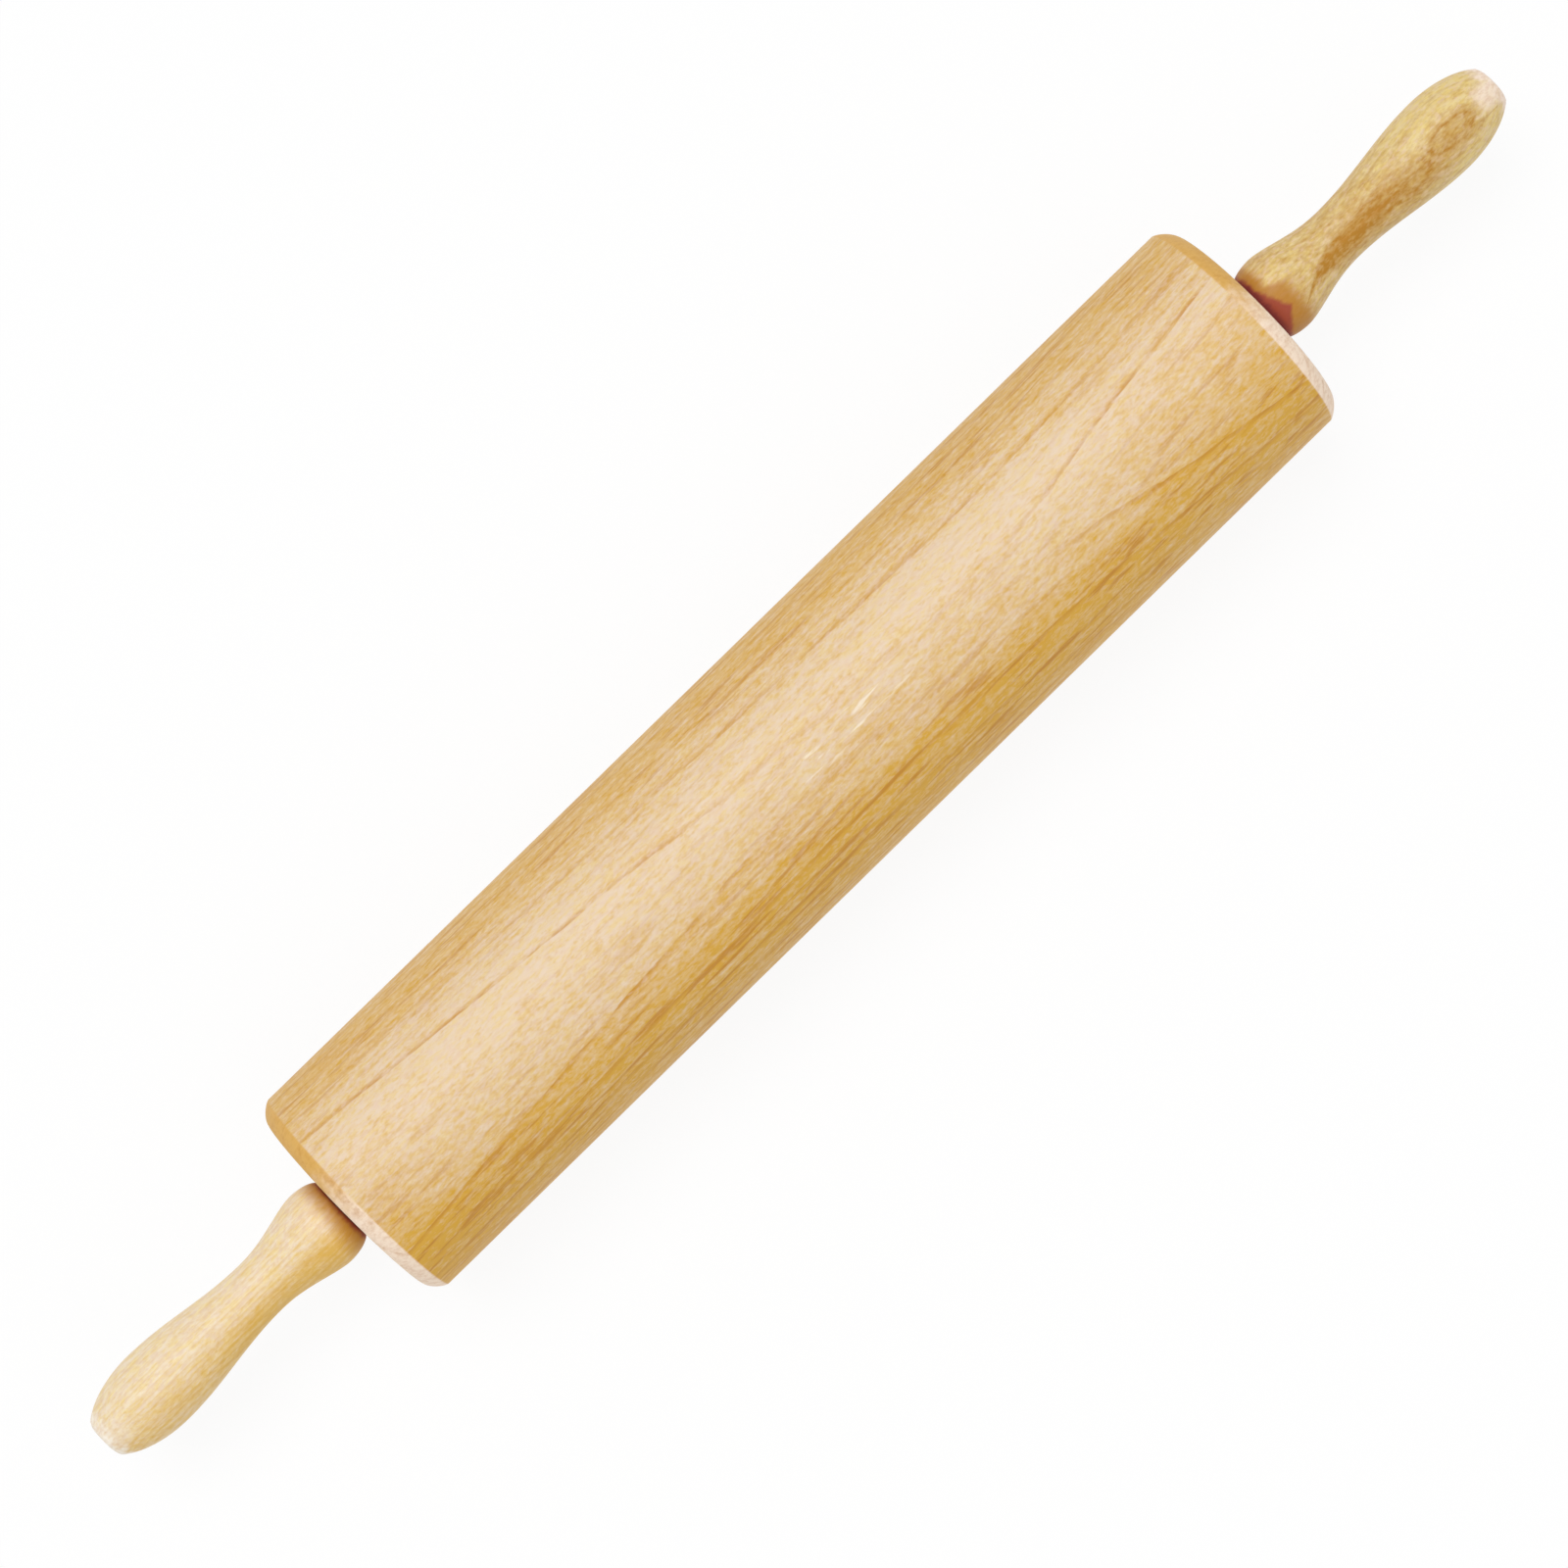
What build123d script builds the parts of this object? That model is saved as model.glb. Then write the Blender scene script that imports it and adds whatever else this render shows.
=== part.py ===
from build123d import *
import math
import os

# A wooden rolling pin whose barrel spins on a steel rod between two turned handles.
# X runs along the rod, Z is up, and the origin is the middle of the barrel on its axis.
# Every outline is drawn as (x, radius) and turned about X. Only the +X half is drawn,
# and the -X half is its mirror image.

# Barrel
barrel_length = 381.0
barrel_diameter = 77.4
barrel_bevel_length = 4.8
barrel_bevel_depth = 4.4
bevel_fullness_share = 1.35
bevel_steps = 3

# Flanged bushing, pressed into each end of the barrel
bushing_sleeve_diameter = 14.0
bushing_length = 24.0
bushing_flange_diameter = 22.0
bushing_flange_thickness = 2.5
bushing_flange_proud = 0.3

# Steel rod: thick through the barrel, thinner in the handles, thinnest where the nut screws on
rod_diameter = 10.0
rod_journal_diameter = 8.0
rod_tip_diameter = 5.0
rod_end_chamfer = 0.4

# Washer between the rod's shoulder and the handle, and the play it leaves at the bushing
thrust_washer_diameter = 18.0
thrust_washer_thickness = 1.6
end_play = 0.3

# Handle, measured along its axis from the root face that meets the washer
handle_length = 99.1
root_face_radius = 9.8
flare_radius = 13.4
flare_from_root = 9.2
neck_radius = 9.25
neck_from_root = 34.0
belly_radius = 13.2
belly_from_tip = 21.9
tip_shoulder_radius = 6.9
tip_flat_radius = 5.8
tip_edge_length = 0.5
round_fullness_share = 2.0
hollow_skew_share = 0.8
swell_skew_share = 1.0
root_steps = 4
hollow_steps = 4
swell_steps = 6
tip_steps = 6

# Pocket in the end of the handle, and the nut and washer that sit in it
nut_pocket_depth = 9.0
nut_pocket_chamfer = 0.4
nut_seat_thickness = 12.0
nut_diameter = 8.0
nut_length = 7.0
nut_edge_chamfer = 0.5
nut_thread_depth = 5.6
nut_slot_width = 1.3
nut_slot_depth = 1.3
nut_washer_thickness = 1.0

# Clearances
press_clearance = 0.01
running_clearance = 0.05
slip_clearance = 0.1
thread_clearance = 0.05
pocket_clearance = 0.2
rod_step_clearance = 1.2
thread_end_clearance = 0.5
cut_overrun = 1.0

# Places along X
barrel_end = barrel_length / 2
flange_outer_face = barrel_end + bushing_flange_proud
flange_inner_face = flange_outer_face - bushing_flange_thickness
bushing_inner_face = flange_outer_face - bushing_length
rod_shoulder = flange_outer_face + end_play
handle_root = rod_shoulder + thrust_washer_thickness
handle_tip = handle_root + handle_length
nut_seat = handle_tip - nut_pocket_depth
handle_bore_end = nut_seat - nut_seat_thickness
rod_journal_end = handle_bore_end - rod_step_clearance
nut_inner_face = nut_seat + nut_washer_thickness
nut_outer_face = nut_inner_face + nut_length
rod_end = nut_inner_face + nut_thread_depth - thread_end_clearance

# Radii that fit one another
barrel_bore_radius = bushing_sleeve_diameter / 2 + press_clearance
flange_pocket_radius = bushing_flange_diameter / 2 + slip_clearance
bushing_bore_radius = rod_diameter / 2 + running_clearance
rod_journal_radius = rod_journal_diameter / 2
journal_hole_radius = rod_journal_radius + slip_clearance
rod_tip_radius = rod_tip_diameter / 2
tip_hole_radius = rod_tip_radius + slip_clearance
nut_pocket_radius = nut_diameter / 2 + pocket_clearance


def turned(outline):
    """The solid made by turning a closed outline, a list of lines and curves, about the X axis."""
    return revolve(make_face(outline), Axis.X)


def turned_corners(*corners):
    """The solid made by turning a closed outline of straight lines about the X axis."""
    return turned([Polyline(corners, close=True)])


def tube(start, end, inner, outer):
    """A plain ring or tube from start to end along X, with inner and outer radii."""
    return turned_corners((start, inner), (end, inner), (end, outer), (start, outer))


def both_ends(half):
    """A half outline and its mirror image, joined by lines between their open ends."""
    other = [mirror(line, about=Plane.YZ) for line in half]
    outside = Line(other[0] @ 0, half[0] @ 0)
    inside = Line(half[-1] @ 1, other[-1] @ 1)
    return half + other + [outside, inside]


def rims(solid, x, radius):
    """The round edges of a turned solid at one place along X and at one radius."""
    near = press_clearance / 10
    return [
        edge
        for edge in solid.edges().filter_by(GeomType.CIRCLE)
        if abs(edge.arc_center.X - x) < near and abs(edge.radius - radius) < near
    ]


def smooth(points):
    """A smooth curve through the points, as one short spline from each point to the next."""
    places = [Vector(*point) for point in points]
    slopes = [b - a for a, b in zip(places[:1] + places, places[1:] + places[-1:])]
    return [
        Spline([a, b], tangents=[slope_a, slope_b])
        for a, b, slope_a, slope_b in zip(places, places[1:], slopes, slopes[1:])
    ]


def rounded(centre, length, height, fullness, steps, quarter=1.0):
    """Points of a rounded corner, from the height above its centre to the length beside it.

    A fullness of 2 gives a quarter ellipse and a fullness near 1 a bevel with soft edges.
    With quarter below 1 the curve stops at that share of its quarter turn.
    """
    x, radius = centre
    points = []
    for step in range(steps + 1):
        angle = math.radians(90) * quarter * step / steps
        along = math.sin(angle) ** (2 / fullness)
        across = max(math.cos(angle), 0) ** (2 / fullness)
        points.append((x + length * along, radius + height * across))
    return points


def eased(start, end, skew, steps):
    """Points of a soft S-shaped change of radius, level at both ends."""
    points = []
    for step in range(steps + 1):
        way = step / steps
        rise = (1 - math.cos(math.pi * way**skew)) / 2
        x = start[0] + (end[0] - start[0]) * way
        points.append((x, start[1] + (end[1] - start[1]) * rise))
    return points


def barrel():
    """The wooden roller, bored through, with a pocket at each end for a bushing's flange."""
    edge_radius = barrel_diameter / 2 - barrel_bevel_depth
    centre = (barrel_end - barrel_bevel_length, edge_radius)
    bevel = rounded(centre, barrel_bevel_length, barrel_bevel_depth, bevel_fullness_share, bevel_steps)
    mouth = Polyline(
        (barrel_end, edge_radius),
        (barrel_end, flange_pocket_radius),
        (flange_inner_face, flange_pocket_radius),
        (flange_inner_face, barrel_bore_radius),
    )
    return turned(both_ends(smooth(bevel) + [mouth]))


def axle_rod():
    """The steel rod, with a shoulder for each washer and a thin tip for each nut."""
    half = [
        (0, rod_diameter / 2),
        (rod_shoulder, rod_diameter / 2),
        (rod_shoulder, rod_journal_radius),
        (rod_journal_end, rod_journal_radius),
        (rod_journal_end, rod_tip_radius),
        (rod_end - rod_end_chamfer, rod_tip_radius),
        (rod_end, rod_tip_radius - rod_end_chamfer),
        (rod_end, 0),
    ]
    other = [(-x, radius) for x, radius in reversed(half)]
    return turned_corners(*half[1:], *other[:-1])


def flange_bushing():
    """The plain bearing that the rod turns in, with its flange let into the barrel's end."""
    sleeve_radius = bushing_sleeve_diameter / 2
    flange_radius = bushing_flange_diameter / 2
    return turned_corners(
        (bushing_inner_face, bushing_bore_radius),
        (flange_outer_face, bushing_bore_radius),
        (flange_outer_face, flange_radius),
        (flange_inner_face, flange_radius),
        (flange_inner_face, sleeve_radius),
        (bushing_inner_face, sleeve_radius),
    )


def thrust_washer():
    """The washer clamped between the rod's shoulder and the root of the handle."""
    return tube(rod_shoulder, handle_root, journal_hole_radius, thrust_washer_diameter / 2)


def handle_outside():
    """Points along the outside of a handle: root, flare, neck, belly and rounded end."""
    flare = handle_root + flare_from_root
    neck = handle_root + neck_from_root
    belly = handle_tip - belly_from_tip
    flare_rise = flare_radius - root_face_radius
    root = rounded((-flare, root_face_radius), flare_from_root, flare_rise, round_fullness_share, root_steps)
    root = [(-x, radius) for x, radius in reversed(root)]
    hollow = eased((flare, flare_radius), (neck, neck_radius), hollow_skew_share, hollow_steps)
    swell = eased((neck, neck_radius), (belly, belly_radius), swell_skew_share, swell_steps)
    cut = math.acos(tip_shoulder_radius / belly_radius)
    reach = (belly_from_tip - tip_edge_length) / math.sin(cut)
    end = rounded((belly, 0), reach, belly_radius, round_fullness_share, tip_steps, cut / math.radians(90))
    return root + hollow[1:] + swell[1:] + end[1:]


def handle():
    """The turned grip, bored for the rod and with a pocket in its tip for the nut."""
    outside = handle_outside()
    inside = Polyline(
        outside[-1],
        (handle_tip, tip_flat_radius),
        (handle_tip, nut_pocket_radius),
        (nut_seat, nut_pocket_radius),
        (nut_seat, tip_hole_radius),
        (handle_bore_end, tip_hole_radius),
        (handle_bore_end, journal_hole_radius),
        (handle_root, journal_hole_radius),
        outside[0],
    )
    grip = turned(smooth(outside) + [inside])
    return chamfer(rims(grip, handle_tip, nut_pocket_radius), nut_pocket_chamfer)


def nut_washer():
    """The small washer under the nut, at the bottom of the pocket."""
    return tube(nut_seat, nut_inner_face, tip_hole_radius, nut_diameter / 2)


def handle_nut():
    """The round slotted nut that draws the handle up against the rod's shoulder."""
    nut_radius = nut_diameter / 2
    thread_radius = rod_tip_radius + thread_clearance
    nut = turned_corners(
        (nut_inner_face, thread_radius),
        (nut_inner_face, nut_radius),
        (nut_outer_face - nut_edge_chamfer, nut_radius),
        (nut_outer_face, nut_radius - nut_edge_chamfer),
        (nut_outer_face, 0),
        (nut_inner_face + nut_thread_depth, 0),
        (nut_inner_face + nut_thread_depth, thread_radius),
    )
    slot = Box(2 * nut_slot_depth, nut_diameter + cut_overrun, nut_slot_width)
    return nut - Pos(nut_outer_face, 0, 0) * slot


def write(shape, name):
    """Writes one piece, or one group of pieces, to its own file."""
    export_step(shape, f"parts/{name}.step")


def mirrored(piece):
    """The same piece at the other end of the pin."""
    return mirror(piece, about=Plane.YZ)


paired_pieces = {
    "flange_bushing": flange_bushing,
    "thrust_washer": thrust_washer,
    "nut_washer": nut_washer,
    "handle_nut": handle_nut,
}

os.makedirs("parts", exist_ok=True)
write(barrel(), "barrel")
write(axle_rod(), "axle_rod")
right_handle = handle()
write(Compound([right_handle, mirrored(right_handle)]), "handles")
for name, make in paired_pieces.items():
    piece = make()
    write(piece, f"right_{name}")
    write(mirrored(piece), f"left_{name}")
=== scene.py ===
"""Looks of a wooden rolling pin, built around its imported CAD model.

Every piece is turned on a node-made lathe from an outline whose points follow the sizes in the
sidebar. The wood is a solid pattern of growth rings, rays and fibres, cut by the turned shapes.
"""

import math
from typing import NamedTuple

import bpy
from bpy.props import FloatProperty, FloatVectorProperty, IntProperty, PointerProperty
from mathutils import Matrix, Vector


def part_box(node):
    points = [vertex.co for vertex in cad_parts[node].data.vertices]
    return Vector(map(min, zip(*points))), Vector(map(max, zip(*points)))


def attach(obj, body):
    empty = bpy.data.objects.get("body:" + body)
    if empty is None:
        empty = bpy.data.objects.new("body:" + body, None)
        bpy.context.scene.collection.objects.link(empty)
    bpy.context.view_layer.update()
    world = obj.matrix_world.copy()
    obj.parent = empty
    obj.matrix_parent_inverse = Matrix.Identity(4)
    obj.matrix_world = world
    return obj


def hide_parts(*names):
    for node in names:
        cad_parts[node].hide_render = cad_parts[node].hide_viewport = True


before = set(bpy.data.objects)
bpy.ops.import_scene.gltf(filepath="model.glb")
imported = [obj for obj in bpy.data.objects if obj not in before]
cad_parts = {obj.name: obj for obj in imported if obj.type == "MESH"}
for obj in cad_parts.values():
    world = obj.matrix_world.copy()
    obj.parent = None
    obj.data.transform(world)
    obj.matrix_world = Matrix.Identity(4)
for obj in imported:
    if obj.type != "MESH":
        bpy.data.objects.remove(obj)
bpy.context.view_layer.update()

bl_info = {
    "name": "Turned Rolling Pin",
    "version": (1, 0, 0),
    "blender": (4, 5, 0),
    "location": "3D View > Sidebar > Rolling Pin",
    "description": "Turns and finishes the barrel, handles and metal parts of a rolling pin",
    "category": "Add Mesh",
}

MM = 0.001
LEFT, RIGHT = -1.0, 1.0
SIDES = (("left", LEFT), ("right", RIGHT))

# Places that two or more pieces share, in millimetres from the middle of the pin
HANDLE_ROOT = 192.7
ROD_SHOULDER = 191.1
BEVEL_LENGTH = 4.8


def node_span(name):
    """The length along X and the diameter of one CAD node."""
    low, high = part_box(name)
    return high.x - low.x, high.y - low.y


def length(name, description, millimetres):
    """A size in metres that a user may change, given here in millimetres."""
    return FloatProperty(
        name=name,
        description=description,
        default=millimetres * MM,
        min=0.0,
        precision=5,
        subtype="DISTANCE",
        unit="LENGTH",
    )


def share(name, description, default, high=10.0):
    """A plain number without a unit."""
    return FloatProperty(name=name, description=description, default=default, min=0.0, max=high)


def count(name, description, default):
    """A whole number of steps."""
    return IntProperty(name=name, description=description, default=default, min=2, max=512)


def colour(name, description, red, green, blue):
    """A colour given as it reads on a screen, 0 to 255, and kept as linear light."""
    return FloatVectorProperty(
        name=name,
        description=description,
        default=[screen_to_linear(value / 255) for value in (red, green, blue)],
        size=3,
        min=0.0,
        max=1.0,
        subtype="COLOR",
    )


def screen_to_linear(value):
    """Linear light of one colour channel that a screen shows as value."""
    return value / 12.92 if value <= 0.04045 else ((value + 0.055) / 1.055) ** 2.4


barrel_length, barrel_diameter = (size / MM for size in node_span("barrel"))


class BarrelSizes(bpy.types.PropertyGroup):
    """Sizes of the wooden roller."""

    barrel_length: length("Length", "Length of the barrel", barrel_length)
    diameter: length("Diameter", "Diameter of the straight part", barrel_diameter)
    bevel_length: length("Bevel Length", "Reach of the end bevel along the barrel", BEVEL_LENGTH)
    bevel_depth: length("Bevel Depth", "How far the end bevel cuts in", 4.4)
    bevel_fullness: share("Bevel Fullness", "1 is a straight bevel and 2 a quarter round", 1.35)
    bore_diameter: length("Bore Diameter", "Hole right through the barrel", 14.02)
    pocket_diameter: length("Pocket Diameter", "Pocket for the bushing's flange", 22.2)
    pocket_depth: length("Pocket Depth", "Depth of that pocket", 2.2)
    edge_rounding: length("Edge Rounding", "Sanded edge of the pocket and the bore", 0.35)
    waviness: length("Waviness", "Unevenness left by hand sanding", 0.03)
    rows: count("Rows", "Rows of faces from the middle to one end", 28)
    bevel_steps: count("Bevel Steps", "Rows of faces on the end bevel", 14)
    face_rows: count("Face Rows", "Rows of faces on the end face and along the bore", 12)
    steps_round: count("Steps Round", "Faces round the barrel", 192)


class HandleSizes(bpy.types.PropertyGroup):
    """Sizes of a turned handle, measured from the root face beside the barrel."""

    root_place: length("Root Place", "Distance of the root face from the middle", HANDLE_ROOT)
    handle_length: length("Length", "Length of the handle", 99.1)
    root_face_radius: length("Root Face Radius", "Radius of the flat root face", 9.8)
    flare_radius: length("Flare Radius", "Radius of the flare near the root", 13.4)
    flare_from_root: length("Flare From Root", "Place of the flare", 9.2)
    neck_radius: length("Neck Radius", "Radius of the thinnest place", 9.25)
    neck_from_root: length("Neck From Root", "Place of the neck", 34.0)
    belly_radius: length("Belly Radius", "Radius of the thickest place", 13.2)
    belly_from_tip: length("Belly From Tip", "Distance of the belly from the tip", 21.9)
    shoulder_radius: length("Shoulder Radius", "Radius where the round end stops", 6.9)
    tip_radius: length("Tip Radius", "Outer radius of the flat tip", 5.8)
    tip_edge: length("Tip Edge", "Length of the small bevel round the tip", 0.5)
    hollow_skew: share("Hollow Skew", "Where the flare falls fastest", 0.8)
    swell_skew: share("Swell Skew", "Where the belly rises fastest", 1.0)
    journal_hole_radius: length("Journal Hole Radius", "Bore near the root", 4.1)
    tip_hole_radius: length("Tip Hole Radius", "Bore under the nut", 2.6)
    nut_pocket_radius: length("Nut Pocket Radius", "Pocket in the tip", 4.2)
    nut_pocket_depth: length("Nut Pocket Depth", "Depth of that pocket", 9.0)
    nut_seat_thickness: length("Nut Seat Thickness", "Wood between the pocket and the bore", 12.0)
    edge_rounding: length("Edge Rounding", "Sanded edge of the holes", 0.3)
    waviness: length("Waviness", "Unevenness left by hand sanding", 0.04)
    curve_steps: count("Curve Steps", "Rows of faces on each curve of the outline", 20)
    face_rows: count("Face Rows", "Rows of faces on the flat tip", 4)
    steps_round: count("Steps Round", "Faces round the handle", 96)


class RodSizes(bpy.types.PropertyGroup):
    """Sizes of the steel rod."""

    diameter: length("Diameter", "Diameter inside the barrel", 10.0)
    journal_diameter: length("Journal Diameter", "Diameter inside the handles", 8.0)
    tip_diameter: length("Tip Diameter", "Outside diameter of the thread", 5.0)
    shoulder_place: length("Shoulder Place", "Where it steps down for the handle", ROD_SHOULDER)
    journal_end: length("Journal End", "Where the journal ends", 269.6)
    thread_start: length("Thread Start", "Where the thread starts", 279.6)
    rod_end: length("Rod End", "Where the rod ends", 288.9)
    end_chamfer: length("End Chamfer", "Bevel of the thread's end", 0.4)
    edge_rounding: length("Edge Rounding", "Broken edge of each step", 0.25)
    thread_pitch: length("Thread Pitch", "Distance from one thread to the next", 0.8)
    thread_depth: length("Thread Depth", "Depth of the thread", 0.42)
    thread_rows: count("Thread Rows", "Rows of faces along one thread", 94)
    steps_round: count("Steps Round", "Faces round the rod", 64)


class BushingSizes(bpy.types.PropertyGroup):
    """Sizes of the flanged nylon bushing."""

    outer_face: length("Outer Face", "Distance of the flange's face from the middle", 190.8)
    bushing_length: length("Length", "Length with the flange", 24.0)
    sleeve_diameter: length("Sleeve Diameter", "Diameter inside the barrel", 14.0)
    flange_diameter: length("Flange Diameter", "Diameter of the flange", 22.0)
    flange_thickness: length("Flange Thickness", "Thickness of the flange", 2.5)
    bore_diameter: length("Bore Diameter", "Hole that the rod turns in", 10.1)
    edge_rounding: length("Edge Rounding", "Moulded rounding of the edges", 0.35)
    steps_round: count("Steps Round", "Faces round the bushing", 96)


class WasherSizes(bpy.types.PropertyGroup):
    """Sizes of the two kinds of steel washer."""

    thrust_place: length("Thrust Place", "Inner face of the washer by the barrel", ROD_SHOULDER)
    thrust_thickness: length("Thrust Thickness", "Thickness of that washer", 1.6)
    thrust_diameter: length("Thrust Diameter", "Diameter of that washer", 18.0)
    thrust_hole: length("Thrust Hole", "Hole of that washer", 8.2)
    nut_washer_place: length("Nut Washer Place", "Inner face of the washer under the nut", 282.8)
    nut_washer_thickness: length("Nut Washer Thickness", "Thickness of that washer", 1.0)
    nut_washer_diameter: length("Nut Washer Diameter", "Diameter of that washer", 8.0)
    nut_washer_hole: length("Nut Washer Hole", "Hole of that washer", 5.2)
    edge_rounding: length("Edge Rounding", "Edge left by the press", 0.2)
    steps_round: count("Steps Round", "Faces round a washer", 72)


class NutSizes(bpy.types.PropertyGroup):
    """Sizes of the round slotted nut in a handle's tip."""

    inner_face: length("Inner Face", "Distance of the inner face from the middle", 283.8)
    nut_length: length("Length", "Length of the nut", 7.0)
    diameter: length("Diameter", "Diameter of the nut", 8.0)
    edge_chamfer: length("Edge Chamfer", "Bevel of the outer edge", 0.5)
    hole_depth: length("Hole Depth", "Depth of the threaded hole", 5.6)
    hole_diameter: length("Hole Diameter", "Outside diameter of the inner thread", 5.1)
    thread_pitch: length("Thread Pitch", "Distance from one thread to the next", 0.8)
    thread_depth: length("Thread Depth", "Depth of the thread", 0.42)
    slot_width: length("Slot Width", "Width of the screwdriver slot", 1.3)
    slot_depth: length("Slot Depth", "Depth of the screwdriver slot", 1.3)
    edge_rounding: length("Edge Rounding", "Broken edges", 0.12)
    thread_rows: count("Thread Rows", "Rows of faces along the thread", 52)
    steps_round: count("Steps Round", "Faces round the nut", 64)


class WoodLook(bpy.types.PropertyGroup):
    """Colours of the oiled hardwood."""

    pale: colour("Pale Wood", "Young wood between the rings", 232, 207, 170)
    tan: colour("Tan Wood", "Darker, older wood", 217, 167, 54)
    line: colour("Ring Line", "Late wood at the edge of a growth ring", 194, 130, 30)
    blush: colour("Blush", "Rosy flecks in the pale wood", 229, 198, 172)
    # The glint colour paints highlights into the wood where the grain lies flat
    glint: colour("Glint", "Short bright flecks where the grain lies flat", 248, 232, 206)
    # End grain: pale on the -Y side of each end and tan on the +Y side
    end: colour("End Grain", "Sanded end grain, rubbed pale", 253, 231, 208)
    end_tan: colour("Oiled End Grain", "End grain that took up more oil", 222, 174, 90)
    left_pale: colour("Left Handle", "Pale wood of the left handle", 243, 225, 190)
    left_tan: colour("Left Handle Tan", "Yellow wood of the left handle", 226, 184, 92)
    # The tip colour is the sanded end grain, and also the painted highlight on top of the tip
    left_end: colour("Left Tip", "Sanded tip of the left handle", 255, 245, 228)
    right_pale: colour("Right Handle", "Pale wood of the right handle", 231, 207, 142)
    right_tan: colour("Right Handle Tan", "Brown wood of the right handle", 178, 122, 8)
    # The tip colour is the sanded end grain, and also the painted highlight on top of the tip
    right_end: colour("Right Tip", "Sanded tip of the right handle", 252, 233, 216)
    # Painted shade at each handle's root beside the barrel: ochre, then dark, then the darkest
    # edge
    root_shade_warm: colour("Warm Root", "Handle wood warmed beside the barrel", 180, 120, 10)
    root_shade: colour("Burnished Root", "Handle wood rubbed dark beside the barrel", 156, 56, 38)
    rubbed: colour("Rubbed Edge", "The darkest edge of that wood", 104, 22, 40)


class MetalLook(bpy.types.PropertyGroup):
    """Colours of the metal and nylon pieces."""

    rod: colour("Rod Steel", "Bright drawn bar", 178, 180, 182)
    washer: colour("Washer Steel", "Pressed steel", 166, 167, 168)
    nut: colour("Nut Plating", "Nickel plating", 206, 205, 202)
    nylon: colour("Nylon", "Dark moulded nylon", 58, 44, 36)


class StageLook(bpy.types.PropertyGroup):
    """The floor, lamps and camera."""

    camera_distance: length("Camera Distance", "Height of the camera above the pin's axis", 1755.0)
    camera_offset: length("Camera Offset", "How far the camera stands towards the left end", 46.9)
    lens: FloatProperty(
        name="Lens", description="Focal length in millimetres", default=133.9, min=1.0
    )
    turn: FloatProperty(
        name="Turn",
        description="Angle of the pin in the picture",
        default=math.radians(44.356),
        subtype="ANGLE",
        unit="ROTATION",
    )
    aim_x: FloatProperty(name="Aim X", description="Middle of the picture", default=-8.8 * MM)
    aim_y: FloatProperty(name="Aim Y", description="Middle of the picture", default=-1.8 * MM)
    floor_size: length("Floor Size", "Width of the floor", 24000.0)
    floor: colour("Floor", "Pale plain floor", 250, 250, 250)
    white_share: share("White Share", "How much of the floor's light is plain white", 0.9, 1.0)
    sky_level: share("Sky Level", "Brightness of the even light from all round", 0.48)
    key_level: share("Key Level", "Strength of the main lamp", 1.38)
    fill_level: share("Fill Level", "Strength of the second lamp", 0.44)


class RollingPinSettings(bpy.types.PropertyGroup):
    """Everything that a user may change."""

    barrel: PointerProperty(type=BarrelSizes)
    handle: PointerProperty(type=HandleSizes)
    rod: PointerProperty(type=RodSizes)
    bushing: PointerProperty(type=BushingSizes)
    washer: PointerProperty(type=WasherSizes)
    nut: PointerProperty(type=NutSizes)
    wood: PointerProperty(type=WoodLook)
    metal: PointerProperty(type=MetalLook)
    stage: PointerProperty(type=StageLook)


class Term:
    """One output of a node tree. Arithmetic on it adds Math nodes to that tree."""

    def __init__(self, bench, socket):
        self.bench = bench
        self.socket = socket

    def __add__(self, other):
        return self.bench.math("ADD", self, other)

    def __radd__(self, other):
        return self.bench.math("ADD", other, self)

    def __sub__(self, other):
        return self.bench.math("SUBTRACT", self, other)

    def __rsub__(self, other):
        return self.bench.math("SUBTRACT", other, self)

    def __mul__(self, other):
        return self.bench.math("MULTIPLY", self, other)

    def __rmul__(self, other):
        return self.bench.math("MULTIPLY", other, self)

    def __truediv__(self, other):
        return self.bench.math("DIVIDE", self, other)

    def __rtruediv__(self, other):
        return self.bench.math("DIVIDE", other, self)

    def __pow__(self, other):
        return self.bench.math("POWER", self, other)

    def __mod__(self, other):
        return self.bench.math("FLOORED_MODULO", self, other)

    def __neg__(self):
        return self.bench.math("MULTIPLY", self, -1.0)


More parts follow.
